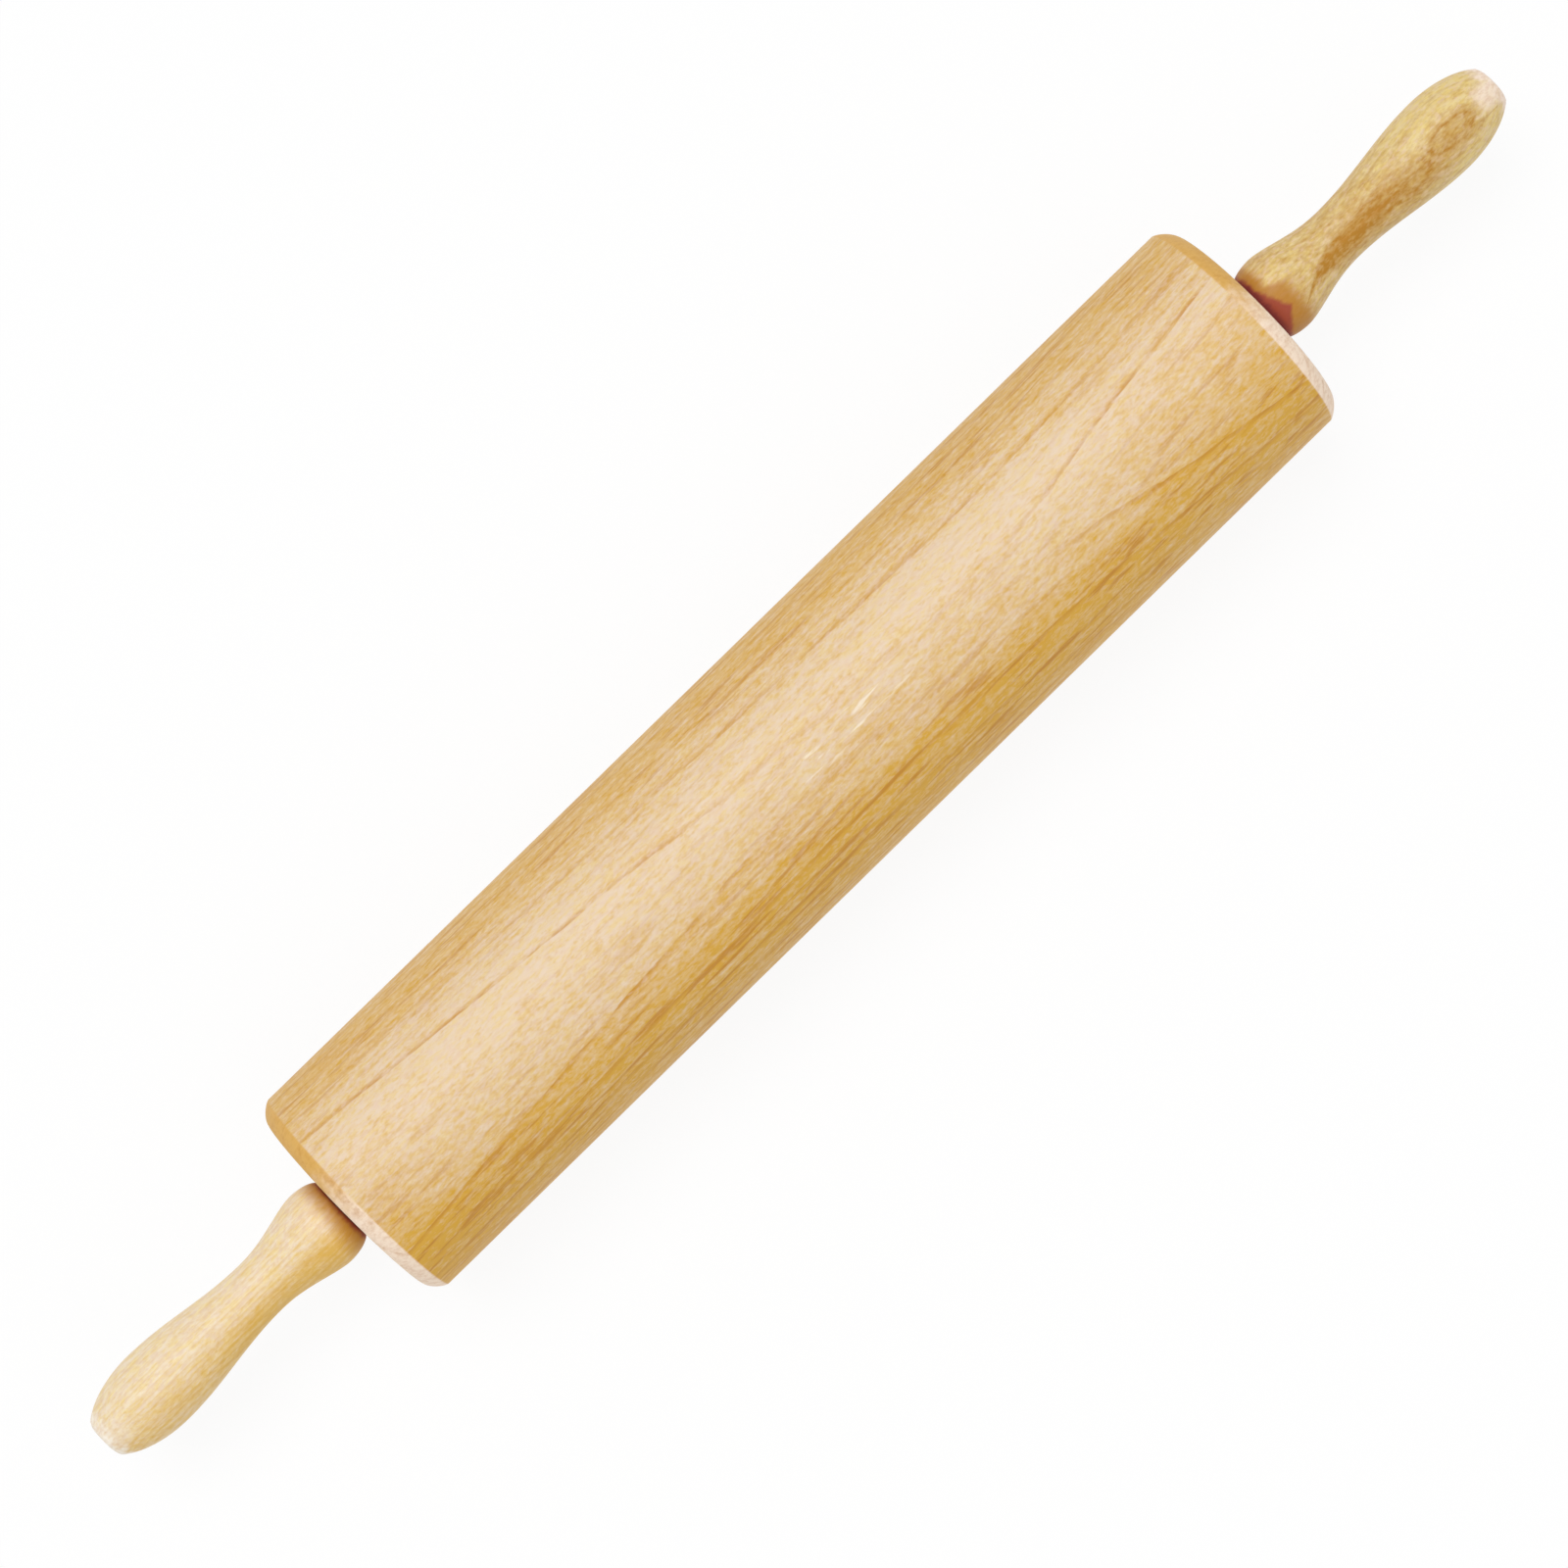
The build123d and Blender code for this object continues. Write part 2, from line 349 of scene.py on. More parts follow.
class Bench:
    """Adds nodes to one node tree, and sets or links their inputs."""

    def __init__(self, tree):
        self.tree = tree

    def feed(self, socket, value):
        """Sets an input, or links an output to it."""
        if isinstance(value, Term):
            self.tree.links.new(value.socket, socket)
        elif value is not None:
            is_colour = socket.type == "RGBA" and len(value) == 3
            socket.default_value = (*value, 1.0) if is_colour else value

    def node(self, kind, *values, named=None, **settings):
        """A new node with its settings made and its inputs fed, in order or by name."""
        node = self.tree.nodes.new(kind)
        for name, value in settings.items():
            setattr(node, name, value)
        for socket, value in zip([s for s in node.inputs if s.enabled], values):
            self.feed(socket, value)
        for name, value in (named or {}).items():
            self.feed(node.inputs[name], value)
        return node

    def term(self, kind, *values, out=0, named=None, **settings):
        """One output of a new node."""
        node = self.node(kind, *values, named=named, **settings)
        return Term(self, [s for s in node.outputs if s.enabled][out])

    def math(self, operation, *values, use_clamp=False):
        """Arithmetic on numbers."""
        return self.term("ShaderNodeMath", *values, operation=operation, use_clamp=use_clamp)

    def vector(self, operation, *values):
        """Arithmetic on vectors."""
        return self.term("ShaderNodeVectorMath", *values, operation=operation)

    def combine(self, x, y, z):
        """A vector made of three numbers."""
        return self.term("ShaderNodeCombineXYZ", x, y, z)

    def split(self, vector):
        """The three numbers of a vector."""
        node = self.node("ShaderNodeSeparateXYZ", vector)
        return [Term(self, socket) for socket in node.outputs]

    def soft_step(self, value, low, high, start=0.0, end=1.0):
        """Rises smoothly from start to end while value goes from low to high."""
        return self.term(
            "ShaderNodeMapRange", value, low, high, start, end, interpolation_type="SMOOTHSTEP"
        )

    def mix(self, factor, first, second, blend="MIX"):
        """Mixes two colours."""
        return self.term(
            "ShaderNodeMix", factor, first, second, data_type="RGBA", blend_type=blend
        )

    def blend(self, factor, first, second):
        """Mixes two numbers."""
        return self.term("ShaderNodeMix", factor, first, second, data_type="FLOAT")

    def noise(self, vector, scale=1.0, detail=2.0, roughness=0.5):
        """Soft noise from 0 to 1 with its middle at 0.5."""
        return self.term("ShaderNodeTexNoise", vector, scale, detail, roughness)

    def noise_line(self, place, scale=1.0, detail=1.0):
        """Soft noise along one number."""
        return self.term("ShaderNodeTexNoise", place, scale, detail, noise_dimensions="1D")


class GroupBench(Bench):
    """A new node group with named inputs and outputs."""

    def __init__(self, name, kind, inputs, outputs):
        super().__init__(bpy.data.node_groups.new(name, kind))
        for label, (socket_kind, default) in inputs.items():
            socket = self.tree.interface.new_socket(
                label, in_out="INPUT", socket_type=f"NodeSocket{socket_kind}"
            )
            if default is not None:
                socket.default_value = default
        for label, socket_kind in outputs.items():
            self.tree.interface.new_socket(
                label, in_out="OUTPUT", socket_type=f"NodeSocket{socket_kind}"
            )
        self.source = self.tree.nodes.new("NodeGroupInput")
        self.sink = self.tree.nodes.new("NodeGroupOutput")

    def given(self, label):
        """The group's own input of that name."""
        return Term(self, self.source.outputs[label])

    def give(self, **outputs):
        """Links the group's outputs."""
        for label, term in outputs.items():
            self.feed(self.sink.inputs[label.replace("_", " ")], term)


class Sizes:
    """The inputs of a tree that were made from a property group, by their property names."""

    def __init__(self, bench, settings_class):
        for prop in own_properties(settings_class):
            setattr(self, prop.identifier, bench.given(prop.name))


def own_properties(settings_class):
    """The properties that a property group adds, in order."""
    return [
        prop
        for prop in settings_class.bl_rna.properties
        if prop.identifier not in {"rna_type", "name"}
    ]


def size_inputs(settings_class):
    """Tree inputs, one for each property, with the property's name and default."""
    kinds = {"FLOAT": "Float", "INT": "Int"}
    return {
        prop.name: (kinds[prop.type], prop.default) for prop in own_properties(settings_class)
    }


def size_values(settings):
    """The value of each property, by the name of its tree input."""
    return {
        prop.name: getattr(settings, prop.identifier) for prop in own_properties(type(settings))
    }


# Outlines: points (x, 0, radius) with marks for a rounded corner, a thread and a sanded surface

MARKS = ("rounding", "thread", "sanded")
# More points than any run of an outline has, so that its runs stay in order
RUN_STRIDE = 10000
CORNER_STEPS = 4
WELD = 1e-6
CREASE_ANGLE = math.radians(31)
# How fast the unevenness of a sanded surface changes along a piece and round it
WAVES_ALONG = 22.0
WAVES_ROUND = 1.6


def run(bench, amount, x, radius, **marks):
    """Points of an outline in order. The place and the marks may follow the point's index."""
    points = bench.term("GeometryNodePoints", amount, bench.combine(x, 0.0, radius))
    for name in MARKS:
        points = bench.term(
            "GeometryNodeStoreNamedAttribute", points, True, name, marks.get(name, 0.0)
        )
    return points


def corner(bench, x, radius, rounding=0.0):
    """One corner of an outline."""
    return run(bench, 1, x, radius, rounding=rounding)


def index(bench):
    """The number of each point, from 0."""
    return bench.term("GeometryNodeInputIndex")


def straight(bench, start, end, amount, **marks):
    """Evenly spaced points from start to end, each given as (x, radius)."""
    way = index(bench) / (amount - 1)
    return run(
        bench,
        amount,
        start[0] + (end[0] - start[0]) * way,
        start[1] + (end[1] - start[1]) * way,
        **marks,
    )


def rounded(bench, centre, along, across, fullness, steps, quarter=1.0, outward=True, **marks):
    """A rounded corner, from across above its centre to along beside it, or the other way."""
    way = index(bench) / steps
    angle = (way if outward else 1.0 - way) * quarter * math.radians(90)
    power = 2.0 / fullness
    x = centre[0] + along * bench.math("SINE", angle) ** power
    upright = bench.math("MAXIMUM", bench.math("COSINE", angle), 0.0)
    return run(bench, steps + 1, x, centre[1] + across * upright**power, **marks)


def eased(bench, start, end, skew, steps, **marks):
    """A soft S-shaped change of radius, level at both ends."""
    way = index(bench) / steps
    rise = 0.5 - bench.math("COSINE", way**skew * math.pi) * 0.5
    return run(
        bench,
        steps + 1,
        start[0] + (end[0] - start[0]) * way,
        start[1] + (end[1] - start[1]) * rise,
        **marks,
    )


def outline(bench, runs, both_ends=False, closed=True):
    """Joins runs of points, in order, into one curve, with its mirror image for both ends."""
    parts = []
    for number, points in enumerate(runs):
        order = index(bench) + RUN_STRIDE * (number + 1)
        parts.append((points, order))
        if both_ends:
            mirrored = bench.term(
                "GeometryNodeTransform", points, named={"Scale": (-1.0, 1.0, 1.0)}
            )
            parts.append((mirrored, -order))
    join = bench.node("GeometryNodeJoinGeometry")
    for points, order in parts:
        ordered = bench.term("GeometryNodeStoreNamedAttribute", points, True, "order", order)
        bench.feed(join.inputs[0], ordered)
    order = bench.term("GeometryNodeInputNamedAttribute", "order")
    curve = bench.term("GeometryNodePointsToCurves", Term(bench, join.outputs[0]), 0, order)
    curve = bench.term("GeometryNodeSetSplineCyclic", curve, True, closed)
    rounding = bench.term("GeometryNodeInputNamedAttribute", "rounding")
    return bench.term(
        "GeometryNodeFilletCurve", curve, CORNER_STEPS, rounding, True, mode="POLY"
    )


def lathe_group():
    """The lathe: turns an outline about X, cuts threads, and leaves a hand-sanded surface."""
    bench = GroupBench(
        "Lathe",
        "GeometryNodeTree",
        {
            "Outline": ("Geometry", None),
            "Closed": ("Bool", True),
            "Steps Round": ("Int", 64),
            "Thread Pitch": ("Float", 0.8 * MM),
            "Thread Depth": ("Float", 0.0),
            "Waviness": ("Float", 0.0),
            "Seed": ("Float", 0.0),
        },
        {"Mesh": "Geometry"},
    )
    shape = bench.given("Outline")
    amount = bench.term("GeometryNodeAttributeDomainSize", shape, component="CURVE")
    around = bench.given("Steps Round") + 1
    grid = bench.term("GeometryNodeMeshGrid", 1.0, 1.0, amount + bench.given("Closed"), around)
    row = bench.math("FLOOR", index(bench) / around)
    turn = (index(bench) - row * around) / bench.given("Steps Round")

    def sampled(value, kind="FLOAT"):
        return bench.term(
            "GeometryNodeSampleIndex", shape, value, row % amount, data_type=kind
        )

    x, _, radius = bench.split(sampled(bench.term("GeometryNodeInputPosition"), "FLOAT_VECTOR"))
    thread = sampled(bench.term("GeometryNodeInputNamedAttribute", "thread"))
    sanded = sampled(bench.term("GeometryNodeInputNamedAttribute", "sanded"))
    angle = turn * math.tau
    sine, cosine = bench.math("SINE", angle), bench.math("COSINE", angle)
    groove = bench.math("PINGPONG", x / bench.given("Thread Pitch") - turn, 0.5) * 2.0
    radius = radius - thread * groove * bench.given("Thread Depth")
    wave_place = bench.combine(
        x * WAVES_ALONG, sine * WAVES_ROUND + bench.given("Seed"), cosine * WAVES_ROUND
    )
    wave = bench.noise(wave_place, detail=1.0)
    radius = radius - sanded * wave * bench.given("Waviness")
    place = bench.combine(x, radius * sine, radius * cosine)
    turned = bench.term("GeometryNodeSetPosition", grid, True, place)
    bench.give(Mesh=bench.term("GeometryNodeMergeByDistance", turned, True, WELD))
    return bench.tree


def lathed(bench, shape, steps_round, closed=True, **values):
    """The outline turned on the lathe group."""
    named = {"Outline": shape, "Closed": closed, "Steps Round": steps_round}
    named.update({name.replace("_", " "): value for name, value in values.items()})
    return bench.term("GeometryNodeGroup", node_tree=bpy.data.node_groups["Lathe"], named=named)


def finish_tree(bench, mesh):
    """The end of every tree: the chosen side, soft shading with real edges, and a material."""
    side = bench.given("Side")
    mesh = bench.term(
        "GeometryNodeTransform", mesh, named={"Scale": bench.combine(side, 1.0, 1.0)}
    )
    mesh = bench.term("GeometryNodeFlipFaces", mesh, bench.math("LESS_THAN", side, 0.0))
    mesh = bench.term("GeometryNodeSetShadeSmooth", mesh, True, True)
    angle = bench.term("GeometryNodeInputMeshEdgeAngle")
    sharp = bench.math("GREATER_THAN", angle, CREASE_ANGLE)
    mesh = bench.term("GeometryNodeSetShadeSmooth", mesh, sharp, False, domain="EDGE")
    mesh = bench.term("GeometryNodeRealizeInstances", mesh)
    bench.give(Mesh=bench.term("GeometryNodeSetMaterial", mesh, True, bench.given("Material")))
    return bench.tree


def piece_bench(name, inputs):
    """A new tree for one turned piece, with these sizes and what every piece needs as inputs."""
    inputs = {
        **inputs,
        "Side": ("Float", RIGHT),
        "Seed": ("Float", 0.0),
        "Material": ("Material", None),
    }
    return GroupBench(name, "GeometryNodeTree", inputs, {"Mesh": "Geometry"})


def piece_tree(name, settings_class):
    """A new tree for one turned piece, with the sizes of its property group as inputs."""
    bench = piece_bench(name, size_inputs(settings_class))
    return bench, Sizes(bench, settings_class)


def barrel_tree():
    """The roller: straight, with a soft bevel, a bore and a pocket at each end."""
    bench, s = piece_tree("Barrel", BarrelSizes)
    end = s.barrel_length / 2.0
    radius = s.diameter / 2.0
    bevel_start = end - s.bevel_length
    face_radius = radius - s.bevel_depth
    bore = s.bore_diameter / 2.0
    pocket = s.pocket_diameter / 2.0
    pocket_floor = end - s.pocket_depth
    bevel = rounded(
        bench,
        (bevel_start, face_radius),
        s.bevel_length,
        s.bevel_depth,
        s.bevel_fullness,
        s.bevel_steps,
        sanded=1.0,
    )
    runs = [
        straight(bench, (0.0, radius), (bevel_start, radius), s.rows, sanded=1.0),
        bevel,
        straight(bench, (end, face_radius), (end, pocket + s.edge_rounding * 2.0), s.face_rows),
        corner(bench, end, pocket, s.edge_rounding),
        corner(bench, pocket_floor, pocket),
        corner(bench, pocket_floor, bore, s.edge_rounding),
        straight(
            bench, (pocket_floor - s.edge_rounding * 2.0, bore), (0.0, bore), s.face_rows
        ),
    ]
    shape = outline(bench, runs, both_ends=True)
    mesh = lathed(bench, shape, s.steps_round, Waviness=s.waviness, Seed=bench.given("Seed"))
    return finish_tree(bench, mesh)


def handle_tree():
    """A grip: rounded root, flare, hollow neck, belly, rounded end and flat drilled tip."""
    bench, s = piece_tree("Handle", HandleSizes)
    root = s.root_place
    tip = root + s.handle_length
    flare = root + s.flare_from_root
    neck = root + s.neck_from_root
    belly = tip - s.belly_from_tip
    seat = tip - s.nut_pocket_depth
    bore_end = seat - s.nut_seat_thickness
    cut = bench.math("ARCCOSINE", s.shoulder_radius / s.belly_radius)
    reach = (s.belly_from_tip - s.tip_edge) / bench.math("SINE", cut)
    steps = s.curve_steps
    rise = s.flare_radius - s.root_face_radius
    root_curve = rounded(
        bench,
        (flare, s.root_face_radius),
        -s.flare_from_root,
        rise,
        2.0,
        steps,
        outward=False,
        sanded=1.0,
    )
    hollow = eased(
        bench, (flare, s.flare_radius), (neck, s.neck_radius), s.hollow_skew, steps, sanded=1.0
    )
    swell = eased(
        bench, (neck, s.neck_radius), (belly, s.belly_radius), s.swell_skew, steps, sanded=1.0
    )
    quarter = cut / math.radians(90)
    end = rounded(bench, (belly, 0.0), reach, s.belly_radius, 2.0, steps, quarter, sanded=1.0)
    pocket_mouth = s.nut_pocket_radius + s.edge_rounding
    runs = [
        root_curve,
        hollow,
        swell,
        end,
        straight(bench, (tip, s.tip_radius), (tip, pocket_mouth), s.face_rows),
        corner(bench, tip - s.edge_rounding, s.nut_pocket_radius),
        corner(bench, seat, s.nut_pocket_radius),
        corner(bench, seat, s.tip_hole_radius, s.edge_rounding),
        corner(bench, bore_end, s.tip_hole_radius),
        corner(bench, bore_end, s.journal_hole_radius),
        corner(bench, root, s.journal_hole_radius, s.edge_rounding),
    ]
    mesh = lathed(
        bench, outline(bench, runs), s.steps_round, Waviness=s.waviness, Seed=bench.given("Seed")
    )
    return finish_tree(bench, mesh)


def rod_tree():
    """The steel rod, stepped down for the handles, with a cut thread at each end."""
    bench, s = piece_tree("Rod", RodSizes)
    journal = s.journal_diameter / 2.0
    tip = s.tip_diameter / 2.0
    thread_end = s.rod_end - s.end_chamfer
    runs = [
        corner(bench, 0.0, s.diameter / 2.0),
        corner(bench, s.shoulder_place, s.diameter / 2.0, s.edge_rounding),
        corner(bench, s.shoulder_place, journal),
        corner(bench, s.journal_end, journal, s.edge_rounding),
        corner(bench, s.journal_end, tip),
        corner(bench, s.thread_start - s.thread_pitch, tip),
        straight(bench, (s.thread_start, tip), (thread_end, tip), s.thread_rows, thread=1.0),
        corner(bench, s.rod_end, tip - s.end_chamfer),
        corner(bench, s.rod_end, 0.0),
    ]
    mesh = lathed(
        bench,
        outline(bench, runs, both_ends=True, closed=False),
        s.steps_round,
        closed=False,
        Thread_Pitch=s.thread_pitch,
        Thread_Depth=s.thread_depth,
    )
    return finish_tree(bench, mesh)


def bushing_tree():
    """The flanged plain bearing."""
    bench, s = piece_tree("Bushing", BushingSizes)
    inner_face = s.outer_face - s.bushing_length
    flange_face = s.outer_face - s.flange_thickness
    bore, sleeve, flange = (
        size / 2.0 for size in (s.bore_diameter, s.sleeve_diameter, s.flange_diameter)
    )
    runs = [
        corner(bench, inner_face, sleeve, s.edge_rounding),
        corner(bench, flange_face, sleeve),
        corner(bench, flange_face, flange, s.edge_rounding),
        corner(bench, s.outer_face, flange, s.edge_rounding),
        corner(bench, s.outer_face, bore, s.edge_rounding),
        corner(bench, inner_face, bore, s.edge_rounding),
    ]
    return finish_tree(bench, lathed(bench, outline(bench, runs), s.steps_round))


def washer_tree():
    """A flat ring with edges rounded by the press."""
    inputs = {
        "Inner Face": ("Float", 0.0),
        "Thickness": ("Float", MM),
        "Diameter": ("Float", MM),
        "Hole": ("Float", MM),
        "Edge Rounding": ("Float", 0.0),
        "Steps Round": ("Int", 64),
    }
    bench = piece_bench("Washer", inputs)
    inner = bench.given("Inner Face")
    outer = inner + bench.given("Thickness")
    hole, rim = bench.given("Hole") / 2.0, bench.given("Diameter") / 2.0
    corners = ((inner, rim), (outer, rim), (outer, hole), (inner, hole))
    runs = [corner(bench, x, radius, bench.given("Edge Rounding")) for x, radius in corners]
    return finish_tree(bench, lathed(bench, outline(bench, runs), bench.given("Steps Round")))


def nut_tree():
    """The round nut, closed outside, threaded inside and slotted for a screwdriver."""
    bench, s = piece_tree("Nut", NutSizes)
    outer_face = s.inner_face + s.nut_length
    hole_end = s.inner_face + s.hole_depth
    hole, rim = s.hole_diameter / 2.0, s.diameter / 2.0
    mouth = s.inner_face + s.edge_chamfer
    runs = [
        corner(bench, hole_end, 0.0),
        straight(bench, (hole_end, hole), (mouth, hole), s.thread_rows, thread=1.0),
        corner(bench, s.inner_face, hole),
        corner(bench, s.inner_face, rim, s.edge_rounding),
        corner(bench, outer_face - s.edge_chamfer, rim, s.edge_rounding),
        corner(bench, outer_face, rim - s.edge_chamfer, s.edge_rounding),
        corner(bench, outer_face, 0.0),
    ]
    mesh = lathed(
        bench,
        outline(bench, runs, closed=False),
        s.steps_round,
        closed=False,
        Thread_Pitch=s.thread_pitch,
        Thread_Depth=s.thread_depth,
    )
    slot_size = bench.combine(s.slot_depth * 2.0, s.diameter * 1.5, s.slot_width)
    cutter = bench.term("GeometryNodeMeshCube", slot_size)
    cutter = bench.term("GeometryNodeTransform", cutter, bench.combine(outer_face, 0.0, 0.0))
    cut = bench.node(
        "GeometryNodeMeshBoolean", mesh, cutter, operation="DIFFERENCE", solver="EXACT"
    )
    return finish_tree(bench, Term(bench, cut.outputs["Mesh"]))


def make_piece(name, tree, values, material, side=RIGHT, seed=0.0):
    """Runs a tree once with these values and keeps the result as a plain mesh object."""
    values = {**values, "Side": side, "Seed": seed, "Material": material}
    piece = bpy.data.objects.new(name, bpy.data.meshes.new(name))
    bpy.context.scene.collection.objects.link(piece)
    modifier = piece.modifiers.new("Turned", "NODES")
    modifier.node_group = tree
    for socket in tree.interface.items_tree:
        if socket.item_type == "SOCKET" and socket.in_out == "INPUT":
            modifier[socket.identifier] = values[socket.name]
    graph = bpy.context.evaluated_depsgraph_get()
    mesh = bpy.data.meshes.new_from_object(piece.evaluated_get(graph), depsgraph=graph)
    if not mesh.polygons:
        raise RuntimeError(f"{name} came out empty")
    piece.modifiers.clear()
    piece.data = mesh
    mesh.name = name
    return piece


def place_piece(piece, body, slot, *nodes):
    """Puts a finished piece on its body, in place of its CAD nodes."""
    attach(piece, body)
    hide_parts(*nodes)


def make_pair(kind, tree, values, material, body, slot, node):
    """The left and the right piece of one kind, each in place of its own CAD node."""
    for word, side in SIDES:
        piece = make_piece(f"{word}_{kind}", tree, values, material, side)
        place_piece(piece, body, slot, f"{word}_{node}")


# Shader groups

# Wood is drawn in millimetres: units to the metre, how far below the pin's axis the tree's heart
# lies, and how far the reference ring is from that heart
WOOD_UNITS = 1000.0
TREE_HEART = -130.0
TREE_RADIUS = 168.7


class Pattern(NamedTuple):
    """A noise stretched in three directions. Its pace is how far it runs per millimetre.

    A threshold makes a mask of it, which rises from 0 to 1, or between two other values given
    after it, while the noise goes from its first value to its second.
    """

    pace: tuple
    detail: float = 2.0
    roughness: float = 0.5
    threshold: tuple = None


# How the growth rings wander, along X, Y and Z
BROAD_WANDER = Pattern((0.012, 0.035, 0.035))
SMALL_WANDER = Pattern((0.06, 0.3, 0.3))
# Figure that follows the grain: along it, round the tree and towards the bark
BROKEN_LINES = Pattern((0.09, 0.4, 0.4), threshold=(0.36, 0.6, 0.25, 1.2))
STREAKS = Pattern((0.012, 0.25, 1.1), detail=3.0, roughness=0.6)
DASHES = Pattern((0.032, 0.45, 0.6), detail=3.0, roughness=0.6, threshold=(0.52, 0.68))
FIBRES = Pattern((0.11, 1.6, 1.6), roughness=0.6)
RAYS = Pattern((0.42, 1.9, 0.12), detail=1.0, threshold=(0.6, 0.78))
PORES = Pattern((0.55, 7.0, 7.0), detail=0.0, threshold=(0.66, 0.8))
# Uneven colour of the oil, along X, Y and Z
MOTTLE = Pattern((0.14, 0.45, 0.45))
FLECKS = Pattern((0.42, 0.95, 0.95), roughness=0.65)
ROSY = Pattern((0.4, 0.8, 0.8), threshold=(0.5, 0.66))
TINT = Pattern((0.22, 0.7, 0.7), detail=3.0, roughness=0.65, threshold=(0.38, 0.64))
COOL_TINT = (1.0, 1.01, 1.14, 1.0)
GOLD_TINT = (1.0, 0.965, 0.76, 1.0)
# Stray scratches: across the turner's rings, and along Y and Z
SCRATCHES = Pattern((0.6, 0.12, 0.12), detail=1.0, threshold=(0.66, 0.78))


def drawn(bench, pattern, place, shift=0.0, side_shift=0.0):
    """The pattern at a place: its mask where it has one, and else noise from -0.5 to 0.5."""
    along, across, deep = (part * pace for part, pace in zip(place, pattern.pace))
    if side_shift:
        across = across + side_shift
    noise = bench.noise(
        bench.combine(along + shift, across, deep), 1.0, pattern.detail, pattern.roughness
    )
    return bench.soft_step(noise, *pattern.threshold) if pattern.threshold else noise - 0.5


def board_group():
    """Where a point lies in the board that a piece was turned from, in millimetres.

    The tree's heart is a line along X. Depth is the distance from it, less that of a reference
    ring, so it rises towards the bark. Around is the distance round the tree. Steepness is 0
    where the surface lies along the rings and 1 where it cuts straight through them.
    """
    bench = GroupBench(
        "Board",
        "ShaderNodeTree",
        {
            "Position": ("Vector", None),
            "Normal": ("Vector", None),
            "Heart Y": ("Float", 0.0),
            "Heart Z": ("Float", TREE_HEART),
            "Reference": ("Float", TREE_RADIUS),
            "Bow": ("Float", 0.0),
            "Wander": ("Float", 1.0),
            "Seed": ("Float", 0.0),
        },
        {"Around": "Float", "Depth": "Float", "Steepness": "Float"},
    )
    seed, wander, reference = (bench.given(name) for name in ("Seed", "Wander", "Reference"))
    x, y, z = bench.split(millimetres(bench, bench.given("Position")))
    from_y = y - bench.given("Heart Y")
    from_z = z - bench.given("Heart Z")
    from_heart = bench.math("SQRT", from_y * from_y + from_z * from_z)
    broad = drawn(bench, BROAD_WANDER, (x, y, z), seed)
    small = drawn(bench, SMALL_WANDER, (x, y, z), -seed)
    depth = from_heart - reference + bench.given("Bow") + broad * wander * 2.0 + small * wander
    _, normal_y, normal_z = bench.split(bench.given("Normal"))
    along = (normal_y * from_y + normal_z * from_z) / from_heart
    steepness = bench.math("SQRT", bench.math("MAXIMUM", 1.0 - along * along, 0.0))
    bench.give(
        Around=bench.math("ARCTAN2", from_y, from_z) * reference, Depth=depth, Steepness=steepness
    )
    return bench.tree


# Across one ring, from 0 at its start to 1 at its outer edge: where late wood sets in and where
# it and the dark line stop, so that the next ring starts pale
LATE_WOOD_FROM = (0.45, 0.97)
LATE_WOOD_STOP = (1.0, 0.985)
LINE_STOP = (1.0, 0.99)
# How steeply a ring has to be cut for its late wood to show, and the least that always shows
STEEP_CUT = (0.03, 0.3, 0.1, 1.0)
# Millimetres from a ring's edge at which its line starts and is full, and its width on flat cuts
LINE_REACH = (2.0, 0.3)
FLATTEST_CUT = 0.08
# Shares of each pattern in the colour of side grain, and then of end grain
FIBRE_SHARE, FLECK_SHARE, PORE_SHARE, BLUSH_SHARE = 0.3, 1.7, 0.12, 0.45
END_SHADE, END_LINE_SHARE, END_PORE_SHARE = 0.08, 0.4, 0.15
END_SPOT_SHARE, END_FLECK_SHARE = 0.55, 1.6
OILED_ROUGHNESS = 0.54


